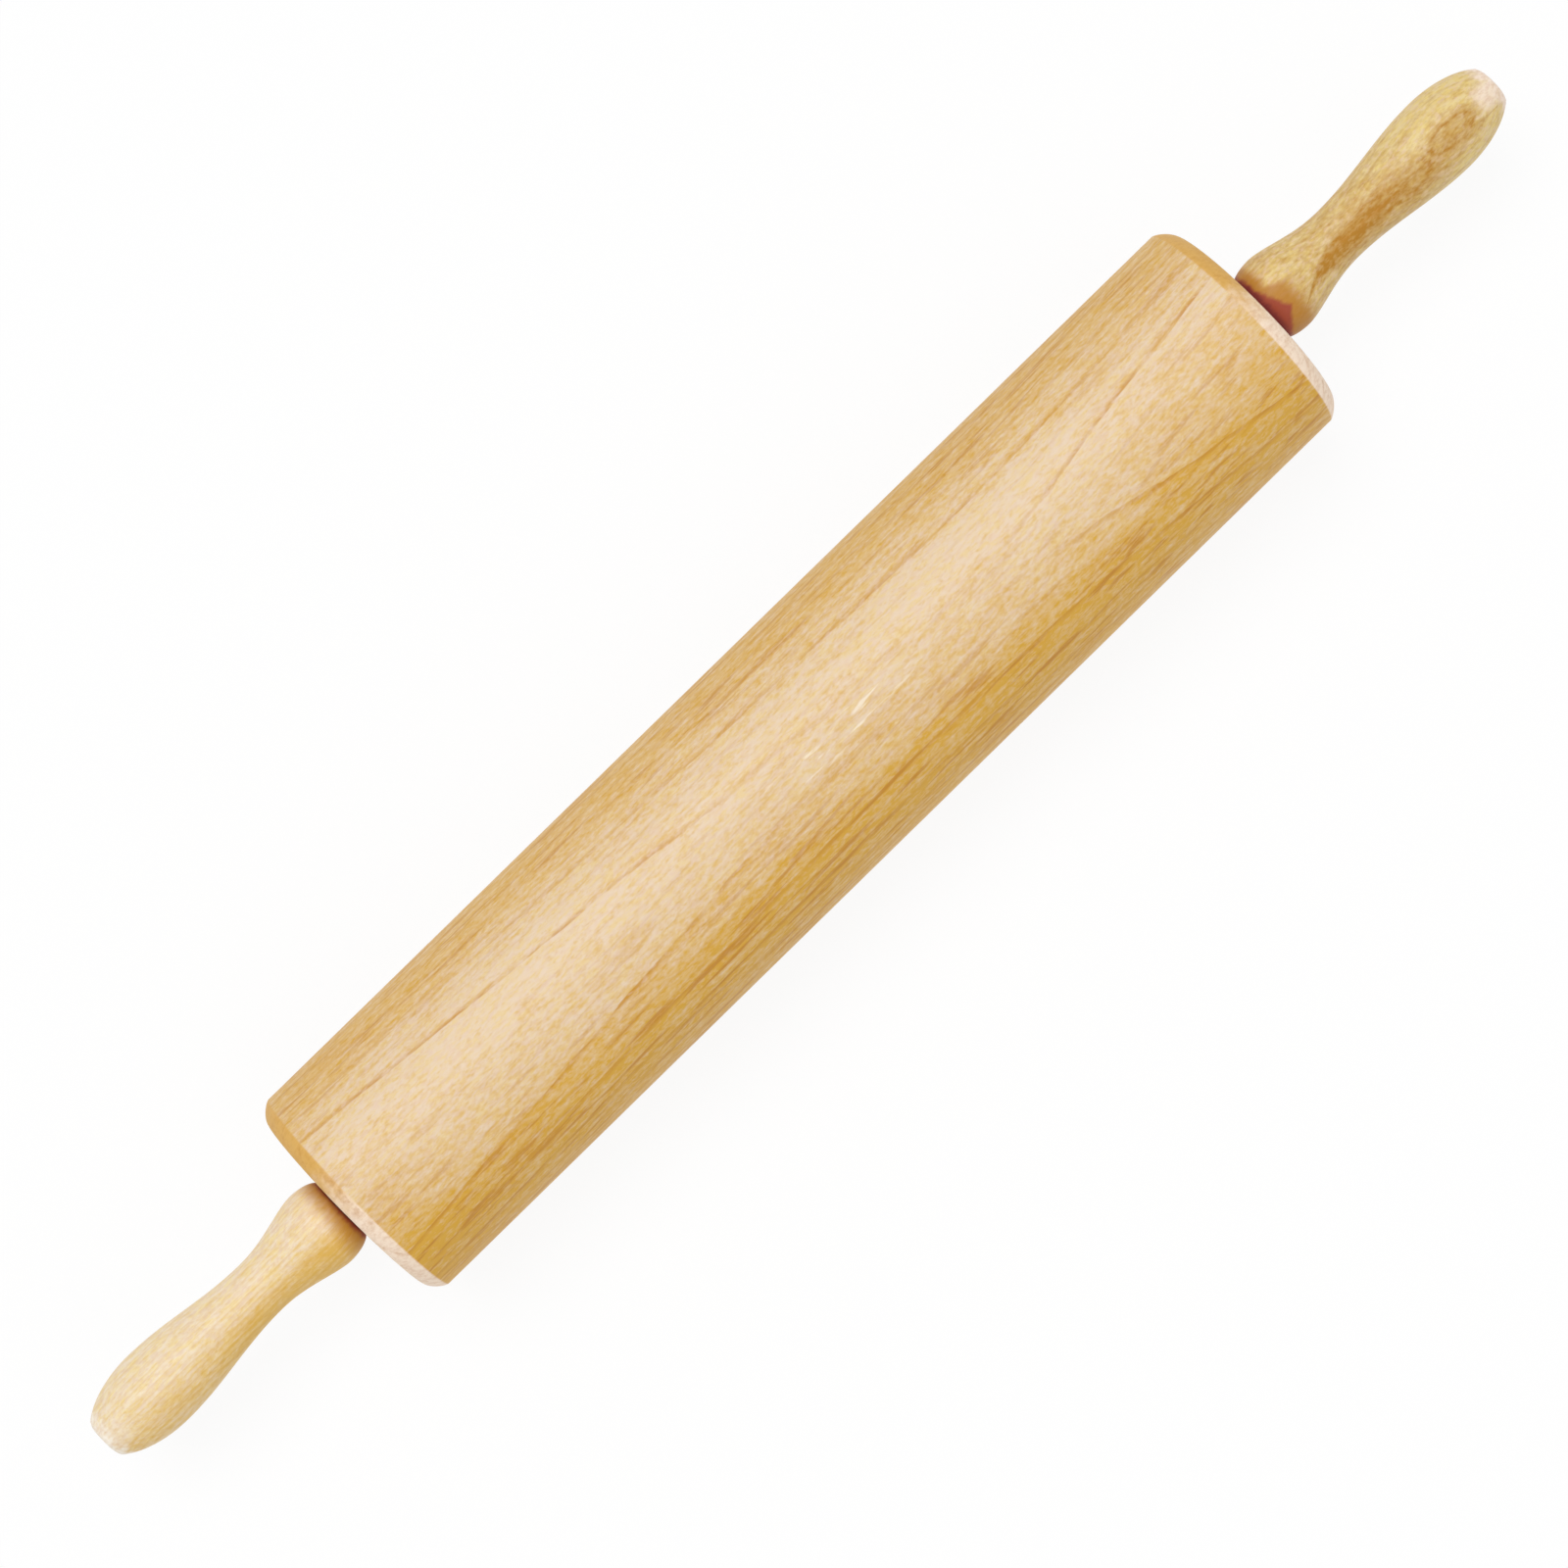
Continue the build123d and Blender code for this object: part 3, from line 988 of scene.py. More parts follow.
def growth_group():
    """Colour, roughness and height of oiled wood: rings, streaks, fibres, rays, pores, flecks."""
    bench = GroupBench(
        "Growth",
        "ShaderNodeTree",
        {
            "Position": ("Vector", None),
            "Around": ("Float", 0.0),
            "Depth": ("Float", 0.0),
            "Steepness": ("Float", 1.0),
            "Ring Place": ("Float", 0.0),
            "Ring Width": ("Float", 4.5),
            "Ring Strength": ("Float", 1.0),
            "Age": ("Float", 0.0),
            "Across Grain": ("Float", 0.0),
            "Pale": ("Color", None),
            "Tan": ("Color", None),
            "Line": ("Color", None),
            "Blush": ("Color", None),
            "End": ("Color", None),
            "Late Wood": ("Float", 0.3),
            "Ring Line": ("Float", 0.4),
            "Streaks": ("Float", 0.5),
            "Dashes": ("Float", 0.5),
            "Flecks": ("Float", 0.5),
            "Rays": ("Float", 0.3),
            "Seed": ("Float", 0.0),
        },
        {"Color": "Color", "Roughness": "Float", "Height": "Float"},
    )
    given = bench.given
    seed = given("Seed")
    x, y, z = bench.split(millimetres(bench, given("Position")))
    place = (x, y, z)
    grain = (x, given("Around"), given("Depth"))

    # A ring darkens towards its outer edge, which shows as a thin line where it is cut steeply
    ring = bench.math("FLOOR", given("Ring Place"))
    within = given("Ring Place") - ring
    random = bench.term("ShaderNodeTexWhiteNoise", ring + seed, noise_dimensions="1D")
    strength = (random * 0.4 + 0.6) * given("Ring Strength")
    cut = bench.soft_step(given("Steepness"), *STEEP_CUT)
    late = bench.soft_step(within, *LATE_WOOD_FROM) * bench.soft_step(within, *LATE_WOOD_STOP)
    late = late * cut
    from_edge = (1.0 - within) * given("Ring Width") / (given("Steepness") + FLATTEST_CUT)
    line = bench.soft_step(from_edge, *LINE_REACH) * bench.soft_step(within, *LINE_STOP)
    line = line * drawn(bench, BROKEN_LINES, grain, seed)
    ring_line = line * strength * cut * given("Ring Line")

    streaks, dashes, fibres, rays, pores = (
        drawn(bench, pattern, grain, seed) for pattern in (STREAKS, DASHES, FIBRES, RAYS, PORES)
    )
    mottle, tint = (drawn(bench, pattern, place, seed) for pattern in (MOTTLE, TINT))
    flecks = drawn(bench, FLECKS, place, -seed)
    rosy = drawn(bench, ROSY, place, side_shift=seed)

    older = bench.math("ADD", given("Age"), 0.1, use_clamp=True)
    age = given("Age") + late * strength * given("Late Wood")
    age = age + streaks * given("Streaks") + fibres * FIBRE_SHARE + rays * given("Rays")
    spots = (mottle + flecks * FLECK_SHARE) * given("Flecks")
    age = bench.math("ADD", age, spots, use_clamp=True)
    base = bench.mix(age, given("Pale"), given("Tan"))
    for share_of_line in (ring_line, dashes * older * given("Dashes"), pores * PORE_SHARE):
        base = bench.mix(share_of_line, base, given("Line"))
    base = bench.mix(1.0, base, bench.mix(tint, COOL_TINT, GOLD_TINT), "MULTIPLY")
    blush = rosy * bench.soft_step(older, 1.0, 0.3) * BLUSH_SHARE
    base = bench.mix(blush, base, given("Blush"))
    end_shade = ring_line * END_LINE_SHARE + pores * END_PORE_SHARE
    end_shade = end_shade + (mottle + flecks * END_FLECK_SHARE) * END_SPOT_SHARE
    end_shade = bench.math("ADD", end_shade, END_SHADE, use_clamp=True)
    end = bench.mix(end_shade, given("End"), given("Line"))
    base = bench.mix(given("Across Grain"), base, end)
    shine = bench.vector("SCALE", base)
    bench.feed(shine.socket.node.inputs["Scale"], 1.0 - rays * 0.02 + fibres * 0.03)
    rough = OILED_ROUGHNESS + fibres * 0.2 + given("Across Grain") * 0.1 - late * 0.05
    height = fibres * 0.5 - pores * 0.7 - line * 0.3 + rays * 0.15
    bench.give(Color=shine, Roughness=rough, Height=height)
    return bench.tree


def turning_marks_group():
    """Fine rings that a tool or abrasive leaves round a turned piece, and stray scratches."""
    bench = GroupBench(
        "Turning Marks",
        "ShaderNodeTree",
        {"Position": ("Vector", None), "Spacing": ("Float", 0.3), "Seed": ("Float", 0.0)},
        {"Height": "Float", "Scratches": "Float"},
    )
    seed = bench.given("Seed")
    x, y, z = bench.split(millimetres(bench, bench.given("Position")))
    radius = bench.math("SQRT", y * y + z * z)
    across = (x + radius) / bench.given("Spacing")
    lines = bench.noise_line(across + seed, detail=2.0) - 0.5
    bench.give(Height=lines, Scratches=drawn(bench, SCRATCHES, (across, y, z), seed))
    return bench.tree


def millimetres(bench, place):
    """A place in metres as one in millimetres."""
    scaled = bench.vector("SCALE", place)
    scaled.socket.node.inputs["Scale"].default_value = WOOD_UNITS
    return scaled


def new_bench(data):
    """The emptied node tree of a new material or world, as a bench."""
    data.use_nodes = True
    data.node_tree.nodes.clear()
    return Bench(data.node_tree)


def start_material(name):
    """A new material, its bench, and the piece's own place and normal."""
    material = bpy.data.materials.new(name)
    bench = new_bench(material)
    source = bench.node("ShaderNodeTexCoord")
    place, normal = (Term(bench, source.outputs[label]) for label in ("Object", "Normal"))
    return material, bench, place, normal


def grouped(bench, name, **values):
    """A shader group placed in a material with its own values. Returns its outputs by name."""
    named = {label.replace("_", " "): value for label, value in values.items()}
    node = bench.node("ShaderNodeGroup", node_tree=bpy.data.node_groups[name], named=named)
    return {socket.name: Term(bench, socket) for socket in node.outputs}


def end_material(bench, height, strength, depth, **principled):
    """Principled surface with a bump from height."""
    bump = bench.node(
        "ShaderNodeBump", named={"Strength": strength, "Distance": depth, "Height": height}
    )
    named = {label.replace("_", " "): value for label, value in principled.items()}
    named["Normal"] = Term(bench, bump.outputs["Normal"])
    surface = bench.node("ShaderNodeBsdfPrincipled", named=named)
    end_tree(bench, "ShaderNodeOutputMaterial", surface.outputs["BSDF"])


def end_tree(bench, kind, surface):
    """The output node of a material or a world."""
    bench.feed(bench.node(kind).inputs["Surface"], Term(bench, surface))


def end_wood(bench, shade, growth, marks, mark_height, coat, coat_roughness):
    """Oiled wood, with its grain and the turner's marks just raised."""
    end_material(
        bench,
        growth["Height"] + marks["Height"] * mark_height,
        strength=0.35,
        depth=0.06 * MM,
        Base_Color=shade,
        Roughness=growth["Roughness"],
        Specular_IOR_Level=0.45,
        Coat_Weight=coat,
        Coat_Roughness=coat_roughness,
    )


def curve_through(bench, value, spots):
    """A smooth curve through spots, given as (place, height), read at value."""
    low, high = spots[0][0], spots[-1][0]
    heights = [height for _, height in spots]
    bottom, rise = min(heights), max(heights) - min(heights)
    node = bench.node("ShaderNodeFloatCurve")
    points = node.mapping.curves[0].points
    while len(points) < len(spots):
        points.new(0.5, 0.5)
    for point, (place, height) in zip(points, spots):
        point.location = ((place - low) / (high - low), (height - bottom) / rise)
    node.mapping.update()
    bench.feed(node.inputs["Value"], (value - low) / (high - low))
    return Term(bench, node.outputs["Value"]) * rise + bottom


def across_grain(bench, normal):
    """How far a surface is cut across the grain, 0 to 1, from its normal."""
    x, _, _ = bench.split(normal)
    return bench.soft_step(bench.math("ABSOLUTE", x), 0.12, 0.5)


def patch(bench, value, centre, reach):
    """1 at the centre of a soft patch along one direction, and 0 beyond its reach."""
    away = bench.math("ABSOLUTE", value - centre)
    return bench.soft_step(away / reach, 1.0, 0.35)


def zone(bench, x, y, along, across):
    """A soft patch on top of a piece, each direction given as (centre, reach) in millimetres."""
    return patch(bench, x, *along) * patch(bench, y, *across)


# Barrel: how far the tree's heart runs beside it, the slope of that line and its bend
BARREL_HEART = (4.5, 0.04, 0.000136)
# How far the rings rise towards the bark, in millimetres, at places along it
BARREL_BOW = (
    (-190.5, 5.9),
    (-140.0, 3.75),
    (-90.0, 2.0),
    (-45.0, 1.1),
    (0.0, 0.3),
    (45.0, -0.15),
    (90.0, -0.05),
    (140.0, 1.4),
    (190.5, 4.1),
)
# Edges of its rings, as (depth in millimetres, number of the ring)
BARREL_RINGS = (
    (-80.0, -16.0),
    (-28.0, -7.0),
    (-23.6, -6.0),
    (-19.1, -5.0),
    (-14.6, -4.0),
    (-10.2, -3.0),
    (-5.1, -2.0),
    (-2.3, -1.0),
    (0.0, 0.0),
    (7.0, 1.2),
)
# How tan its upper half is from the far side to the near side, as (place along Y, share)
BARREL_AGE = (
    (-38.7, 0.78),
    (-28.0, 0.83),
    (-23.0, 0.78),
    (-16.0, 0.46),
    (-8.0, 0.25),
    (0.0, 0.14),
    (6.0, 0.07),
    (12.0, 0.04),
    (19.0, 0.2),
    (26.0, 0.39),
    (32.0, 0.61),
    (38.7, 0.7),
)
# How strongly a ring edge is drawn at each depth, as (depth in millimetres, share)
BARREL_STRENGTH = (
    (-80.0, 0.9),
    (-5.2, 0.9),
    (-3.8, 0.35),
    (-2.1, 0.35),
    (-1.5, 1.0),
    (7.0, 1.0),
)
# Paler zones on top of it, as (centre, reach) along X and along Y, and how much younger they are
BARREL_PALE_ZONES = (((-115.0, 75.0), (19.0, 11.0), 0.16), ((90.0, 60.0), (11.0, 9.0), 0.12))
# Painted highlights at its middle: short bright flecks where the grain lies flat, partly pale wood
# and partly painted glints of light
GLINTS = Pattern((0.06, 0.55, 0.0), detail=3.0, roughness=0.6, threshold=(0.56, 0.66))
GLINT_ZONE = ((12.0, 40.0), (-2.5, 7.0))
# How ragged the tan side of its ends is, where along Y it turns tan, and the radii between the
# pale face and the tan rim
TAN_SIDE_EDGE = Pattern((0.3, 0.25, 0.25), detail=3.0)
TAN_SIDE_RAGGEDNESS = 22.0
TAN_SIDE_FROM = (-8.0, 16.0)
END_RIM = (28.0, 35.5)
BEVEL_START = barrel_length / 2.0 - BEVEL_LENGTH
BEVEL_RADII = (30.0, 32.0)


def barrel_end_grain(bench, wood, place):
    """Colour of the barrel's end grain, tan on the +Y side and most of all at the rim, and the
    bevel.
    """
    x, y, z = place
    radius = bench.math("SQRT", y * y + z * z)
    rim = bench.soft_step(radius, *END_RIM)
    uneven = drawn(bench, TAN_SIDE_EDGE, place) * TAN_SIDE_RAGGEDNESS
    tan_side = bench.soft_step(y + uneven, *TAN_SIDE_FROM) * (rim * 0.65 + 0.35)
    face = bench.mix(rim, bench.mix(0.5, wood.end, wood.pale), wood.end)
    past_bevel = bench.math("ABSOLUTE", x) - BEVEL_START
    bevel = bench.soft_step(past_bevel, -0.4, 0.3) * bench.soft_step(radius, *BEVEL_RADII)
    return bench.mix(tan_side, face, wood.end_tan), bevel


def barrel_age(bench, place):
    """How tan the barrel's wood is: its curve from side to side, and zones near the ends."""
    x, y, z = place
    right_end = bench.soft_step(x, 105.0, 175.0) * patch(bench, y, -3.0, 22.0) * 0.28
    left_end = bench.soft_step(x, -155.0, -180.0) * bench.soft_step(y, 12.0, -8.0) * 0.14
    underside = bench.soft_step(z, 5.0, -30.0) * 0.12
    age = curve_through(bench, y, BARREL_AGE) + right_end + left_end + underside
    for along, across, younger in BARREL_PALE_ZONES:
        age = age - zone(bench, x, y, along, across) * younger
    return age


def barrel_wood(wood):
    """Flat-sawn hardwood: pale on top, with older tan wood in bands along both sides."""
    material, bench, position, normal = start_material("Barrel Wood")
    place = x, y, _ = bench.split(millimetres(bench, position))
    beside, slope, bend = BARREL_HEART
    board = grouped(
        bench,
        "Board",
        Position=position,
        Normal=normal,
        Heart_Y=beside + x * slope + x * x * bend,
        Heart_Z=TREE_HEART,
        Reference=TREE_RADIUS,
        Bow=curve_through(bench, x, BARREL_BOW),
        Wander=0.5,
        Seed=3.0,
    )
    end, bevel = barrel_end_grain(bench, wood, place)
    far_side = bench.soft_step(y, 18.0, 26.0, 1.0, 0.5)
    growth = grouped(
        bench,
        "Growth",
        Position=position,
        Around=board["Around"],
        Depth=board["Depth"],
        Steepness=board["Steepness"],
        Ring_Place=curve_through(bench, board["Depth"], BARREL_RINGS),
        Ring_Width=4.4,
        Ring_Strength=curve_through(bench, board["Depth"], BARREL_STRENGTH) * far_side,
        Age=barrel_age(bench, place),
        Across_Grain=bench.math("MAXIMUM", across_grain(bench, normal), bevel),
        Pale=wood.pale,
        Tan=wood.tan,
        Line=wood.line,
        Blush=wood.blush,
        End=end,
        Late_Wood=0.26,
        Ring_Line=0.6,
        Streaks=0.6,
        Dashes=0.85,
        Flecks=0.85,
        Rays=0.15,
        Seed=3.0,
    )
    painted_glints = drawn(bench, GLINTS, (x, y, 0.0)) * zone(bench, x, y, *GLINT_ZONE)
    shade = bench.mix(painted_glints * 0.85, growth["Color"], wood.glint)
    marks = grouped(bench, "Turning Marks", Position=position, Spacing=0.5, Seed=1.0)
    end_wood(bench, shade, growth, marks, mark_height=0.2, coat=0.04, coat_roughness=0.4)
    return material


# Tip of a handle: the painted highlight on top, as (centre, reach) along X and along Y, and the
# sanded edge
TIP_HIGHLIGHT = ((289.0, 9.0), (-1.2, 5.5))
TIP_WEAR = Pattern((0.12, 0.5, 0.5), detail=1.0)
TIP_EDGE = (286.5, 291.3)


def handle_wood(
    name, wood, heart, reference, ring_width, seed, colours, age, root, tip_highlight_share, **strengths
):
    """Wood of one handle, with painted shade at its root beside the barrel's end."""
    material, bench, position, normal = start_material(name)
    place = x, y, z = bench.split(millimetres(bench, position))
    from_middle = bench.math("ABSOLUTE", x)
    board = grouped(
        bench,
        "Board",
        Position=position,
        Normal=normal,
        Heart_Y=heart[0],
        Heart_Z=heart[1],
        Reference=reference,
        Wander=0.8,
        Seed=seed,
    )
    uneven = bench.noise_line(board["Depth"] * 0.3 + seed, detail=1.0) - 0.5
    # Painted highlight: a pale spot in the tip's end-grain colour, on the top of the tip only
    wear_and_highlight = zone(bench, from_middle, y, *TIP_HIGHLIGHT) * bench.soft_step(z, 0.0, 4.0) * tip_highlight_share
    tip_wear = drawn(bench, TIP_WEAR, place) * 8.0
    tip_edge = bench.soft_step(from_middle + tip_wear, *TIP_EDGE)
    pale, tan, end = colours
    growth = grouped(
        bench,
        "Growth",
        Position=position,
        Around=board["Around"],
        Depth=board["Depth"],
        Steepness=board["Steepness"],
        Ring_Place=board["Depth"] / ring_width + uneven * 0.8,
        Ring_Width=ring_width,
        Age=age(bench, place),
        Across_Grain=bench.math("MAXIMUM", tip_edge, wear_and_highlight),
        Pale=pale,
        Tan=tan,
        Line=wood.line,
        Blush=wood.blush,
        End=end,
        Seed=seed,
        **strengths,
    )
    shade = root(bench, growth["Color"], from_middle, y, wood)
    marks = grouped(bench, "Turning Marks", Position=position, Spacing=0.35, Seed=seed)
    end_wood(bench, shade, growth, marks, mark_height=0.3, coat=0.06, coat_roughness=0.35)
    return material


# Ragged edge of the painted shade on each root, and where it fades in, in millimetres past its
# reach
LEFT_RAGGED = Pattern((0.2, 0.5, 1.0))
RIGHT_RAGGED = Pattern((0.2, 0.5, 1.0), detail=3.0)
DARK_EDGE = (1.2, -0.9)
DARKEST_EDGE = (3.6, 1.4)
WARM_SHARE, DARK_SHARE = 0.9, 0.92


def painted_root_shade(bench, shade, wood, distance, warm_reach, warm_hold, dark_reach, rubbed):
    """Painted shade: handle wood that turns ochre and then dark towards the barrel."""
    warm = bench.soft_step(distance / warm_reach, 1.0, warm_hold)
    shade = bench.mix(warm * WARM_SHARE, shade, wood.root_shade_warm)
    dark = bench.soft_step(distance - dark_reach, *DARK_EDGE)
    shade = bench.mix(dark * DARK_SHARE, shade, wood.root_shade)
    darkest = bench.soft_step(distance, *DARKEST_EDGE) * dark
    return bench.mix(darkest * rubbed, shade, wood.rubbed)


def left_root(bench, shade, x, y, wood):
    """Painted shade on the left root, all round and a little more on its lower side."""
    lower = bench.soft_step(y, 4.0, -9.0)
    return painted_root_shade(
        bench,
        shade,
        wood,
        x - HANDLE_ROOT + drawn(bench, LEFT_RAGGED, (x, y, 0.0)) * 2.0,
        warm_reach=7.0 + lower * 2.5,
        warm_hold=0.1,
        dark_reach=0.5 + lower * 0.5,
        rubbed=0.35,
    )


def right_root(bench, shade, x, y, wood):
    """Painted shadow on the right root: a dark three-cornered mark on its lower side."""
    corner_place, upper_side, lower_side = -5.6, 10.6, 6.2
    above = 1.0 - (y - corner_place) / upper_side
    below = 1.0 + (y - corner_place) / lower_side
    mark = bench.math("MAXIMUM", bench.math("MINIMUM", above, below), 0.0)
    return painted_root_shade(
        bench,
        shade,
        wood,
        x - HANDLE_ROOT + drawn(bench, RIGHT_RAGGED, (x, y, 7.0)) * 2.6,
        warm_reach=bench.soft_step(y, 4.0, 1.0, 7.5, 15.0),
        warm_hold=0.55,
        dark_reach=2.6 + mark * 4.6,
        rubbed=0.75,
    )


def left_age(bench, place):
    """The left handle is more yellow along its lower side, and most so from neck to root."""
    x, y, _ = place
    lower = bench.soft_step(y, 3.0, -8.0)
    return lower * bench.soft_step(x, -262.0, -232.0, 0.5, 0.85) + 0.08


# Right handle: a brown streak, as (place along X, place along Y) and (place along X, half width)
STREAK_PLACE = (
    (210.0, -5.6),
    (216.0, -4.2),
    (232.0, -2.9),
    (250.0, -4.2),
    (264.0, -5.6),
    (285.0, -6.0),
)
STREAK_WIDTH = (
    (205.0, 0.2),
    (214.0, 2.0),
    (227.0, 5.4),
    (256.0, 6.4),
    (268.0, 4.2),
    (284.0, 0.2),
)
# The oval figure near its tip, as (centre, half its length) along X and (centre, half its width)
# along Y, and the pale zone near its root
OVAL = ((270.5, 10.2), (-2.0, 4.1))
ROOT_PALE_ZONE = ((206.0, 10.0), (3.0, 10.0))
BLOTCHES = Pattern((0.16, 0.36, 0.36), detail=3.0, roughness=0.6)
SPECKLE = Pattern((0.45, 0.8, 0.8))


def right_age(bench, place):
    """The right handle is darker, with a pale patch by its root, a brown streak and an oval."""
    x, y, z = place
    age = bench.soft_step(x, 236.0, 270.0, 0.34, 0.07)
    age = age - zone(bench, x, y, *ROOT_PALE_ZONE) * 0.12
    blotches = drawn(bench, BLOTCHES, place, 11.0)
    width = bench.math("MAXIMUM", curve_through(bench, x, STREAK_WIDTH), 0.1)
    away = bench.math("ABSOLUTE", y - curve_through(bench, x, STREAK_PLACE))
    streak = bench.soft_step(away / width + blotches * 1.6, 1.35, 0.2)
    along, across = ((value - centre) / half for value, (centre, half) in zip((x, y), OVAL))
    from_centre = bench.math("SQRT", along**2.0 + across**2.0)
    edge = patch(bench, from_centre + blotches * 0.5, 1.0, 0.34)
    inside = bench.soft_step(from_centre, 1.05, 0.8) * 0.56
    spots = bench.math("MAXIMUM", streak * 0.52, edge * 0.3 + inside)
    age = age + spots * bench.soft_step(z, 0.0, 5.0)
    return age + blotches * 0.55 + drawn(bench, SPECKLE, place) * 0.6


BRIGHT_SCRATCH = (0.85, 0.85, 0.85)
NYLON_DUST = (0.2, 0.16, 0.12)
# Radii in millimetres between which the rod's washer has polished the bushing
POLISHED = (9.3, 8.7)


def metal(name, base_colour, spacing, roughness, seed):
    """Turned steel: bright, with fine rings left by the tool and a few scratches."""
    material, bench, place, _ = start_material(name)
    marks = grouped(bench, "Turning Marks", Position=place, Spacing=spacing, Seed=seed)
    wear_and_highlight = bench.mix(marks["Scratches"] * 0.35, base_colour, BRIGHT_SCRATCH)
    cloudy = bench.noise(place, scale=220.0, detail=3.0)
    end_material(
        bench,
        marks["Height"],
        strength=0.25,
        depth=0.02 * MM,
        Base_Color=wear_and_highlight,
        Metallic=1.0,
        Roughness=roughness + (cloudy - 0.5) * 0.2 + marks["Scratches"] * 0.1,
    )
    return material


def nylon(look):
    """Dark moulded nylon with a fine pebbled skin, polished where the rod and washer rub."""
    material, bench, place, _ = start_material("Bushing Nylon")
    _, y, z = bench.split(millimetres(bench, place))
    skin = bench.noise(place, scale=2600.0, detail=2.0)
    radius = bench.math("SQRT", y * y + z * z)
    rubbed = bench.soft_step(radius, *POLISHED)
    dusty = bench.noise(place, scale=300.0, detail=3.0)
    shade = bench.mix((dusty - 0.4) * 0.25, look.nylon, NYLON_DUST)
    end_material(
        bench,
        skin * (1.0 - rubbed * 0.7),
        strength=0.3,
        depth=0.03 * MM,
        Base_Color=shade,
        Roughness=0.5 - rubbed * 0.2 + (dusty - 0.5) * 0.15,
    )
    return material


def settings():
    """What a user may change in the sidebar, as it stands in this scene."""
    return bpy.context.scene.rolling_pin


class ROLLINGPIN_OT_groups(bpy.types.Operator):
    """Build the lathe and the shader groups that the pieces share"""

    bl_idname = "rolling_pin.groups"
    bl_label = "Shared Groups"

    def execute(self, context):
        lathe_group()
        board_group()
        growth_group()
        turning_marks_group()
        return {"FINISHED"}


class ROLLINGPIN_OT_barrel(bpy.types.Operator):
    """Turn the wooden barrel"""

    bl_idname = "rolling_pin.barrel"
    bl_label = "Barrel"

    def execute(self, context):
        wood = barrel_wood(settings().wood)
        piece = make_piece("turned_barrel", barrel_tree(), size_values(settings().barrel), wood)
        place_piece(piece, "roller", "barrel_wood", "barrel")
        return {"FINISHED"}


class ROLLINGPIN_OT_handles(bpy.types.Operator):
    """Turn the two handles"""

    bl_idname = "rolling_pin.handles"
    bl_label = "Handles"

    def execute(self, context):
        wood = settings().wood
        tree = handle_tree()
        left = handle_wood(
            "Left Handle Wood",
            wood,
            heart=(-95.0, 14.0),
            reference=92.0,
            ring_width=1.5,
            seed=11.0,
            colours=(wood.left_pale, wood.left_tan, wood.left_end),
            age=left_age,
            root=left_root,
            tip_highlight_share=0.45,
            Late_Wood=0.2,
            Ring_Line=0.1,
            Streaks=0.7,
            Dashes=0.15,
            Flecks=0.6,
            Rays=0.15,
        )
        right = handle_wood(
            "Right Handle Wood",
            wood,
            heart=(11.5, -79.2),
            reference=92.7,
            ring_width=2.4,
            seed=27.0,
            colours=(wood.right_pale, wood.right_tan, wood.right_end),
            age=right_age,
            root=right_root,
            tip_highlight_share=0.8,
            Late_Wood=0.1,
            Ring_Line=0.1,
            Streaks=0.7,
            Dashes=0.3,
            Flecks=0.5,
            Rays=0.15,
        )
        values = size_values(settings().handle)
        for (word, side), material in zip(SIDES, (left, right)):
            piece = make_piece(f"{word}_handle", tree, values, material, side, seed=side * 5.0)
            place_piece(piece, "axle", "handle_wood", "handles")
        return {"FINISHED"}


class ROLLINGPIN_OT_rod(bpy.types.Operator):
    """Turn the steel rod and cut its threads"""

    bl_idname = "rolling_pin.rod"
    bl_label = "Rod"

    def execute(self, context):
        look = settings().metal
        steel = metal("Rod Steel", look.rod, spacing=0.12, roughness=0.3, seed=2.0)
        piece = make_piece("steel_rod", rod_tree(), size_values(settings().rod), steel)
        place_piece(piece, "axle", "rod_steel", "axle_rod")
        return {"FINISHED"}


class ROLLINGPIN_OT_bushings(bpy.types.Operator):
    """Make the two flanged bushings"""

    bl_idname = "rolling_pin.bushings"
    bl_label = "Bushings"

    def execute(self, context):
        material = nylon(settings().metal)
        make_pair(
            "bushing",
            bushing_tree(),
            size_values(settings().bushing),
            material,
            "roller",
            "bushing_nylon",
            "flange_bushing",
        )
        return {"FINISHED"}


class ROLLINGPIN_OT_washers(bpy.types.Operator):
    """Make the thrust washers and the washers under the nuts"""

    bl_idname = "rolling_pin.washers"
    bl_label = "Washers"

    def execute(self, context):
        sizes, look = settings().washer, settings().metal
        steel = metal("Washer Steel", look.washer, spacing=0.2, roughness=0.38, seed=5.0)
        tree = washer_tree()
        kinds = {
            "thrust_washer": (
                sizes.thrust_place,
                sizes.thrust_thickness,
                sizes.thrust_diameter,
                sizes.thrust_hole,
            ),
            "nut_washer": (
                sizes.nut_washer_place,
                sizes.nut_washer_thickness,
                sizes.nut_washer_diameter,
                sizes.nut_washer_hole,
            ),
        }
        for kind, (place, thickness, diameter, hole) in kinds.items():
            values = {
                "Inner Face": place,
                "Thickness": thickness,
                "Diameter": diameter,
                "Hole": hole,
                "Edge Rounding": sizes.edge_rounding,
                "Steps Round": sizes.steps_round,
            }
            make_pair(f"{kind}_finished", tree, values, steel, "axle", "washer_steel", kind)
        return {"FINISHED"}


class ROLLINGPIN_OT_nuts(bpy.types.Operator):
    """Make the two slotted nuts"""

    bl_idname = "rolling_pin.nuts"
    bl_label = "Nuts"

    def execute(self, context):
        look = settings().metal
        plating = metal("Nut Plating", look.nut, spacing=0.1, roughness=0.2, seed=9.0)
        values = size_values(settings().nut)
        make_pair("slotted_nut", nut_tree(), values, plating, "axle", "nut_steel", "handle_nut")
        return {"FINISHED"}


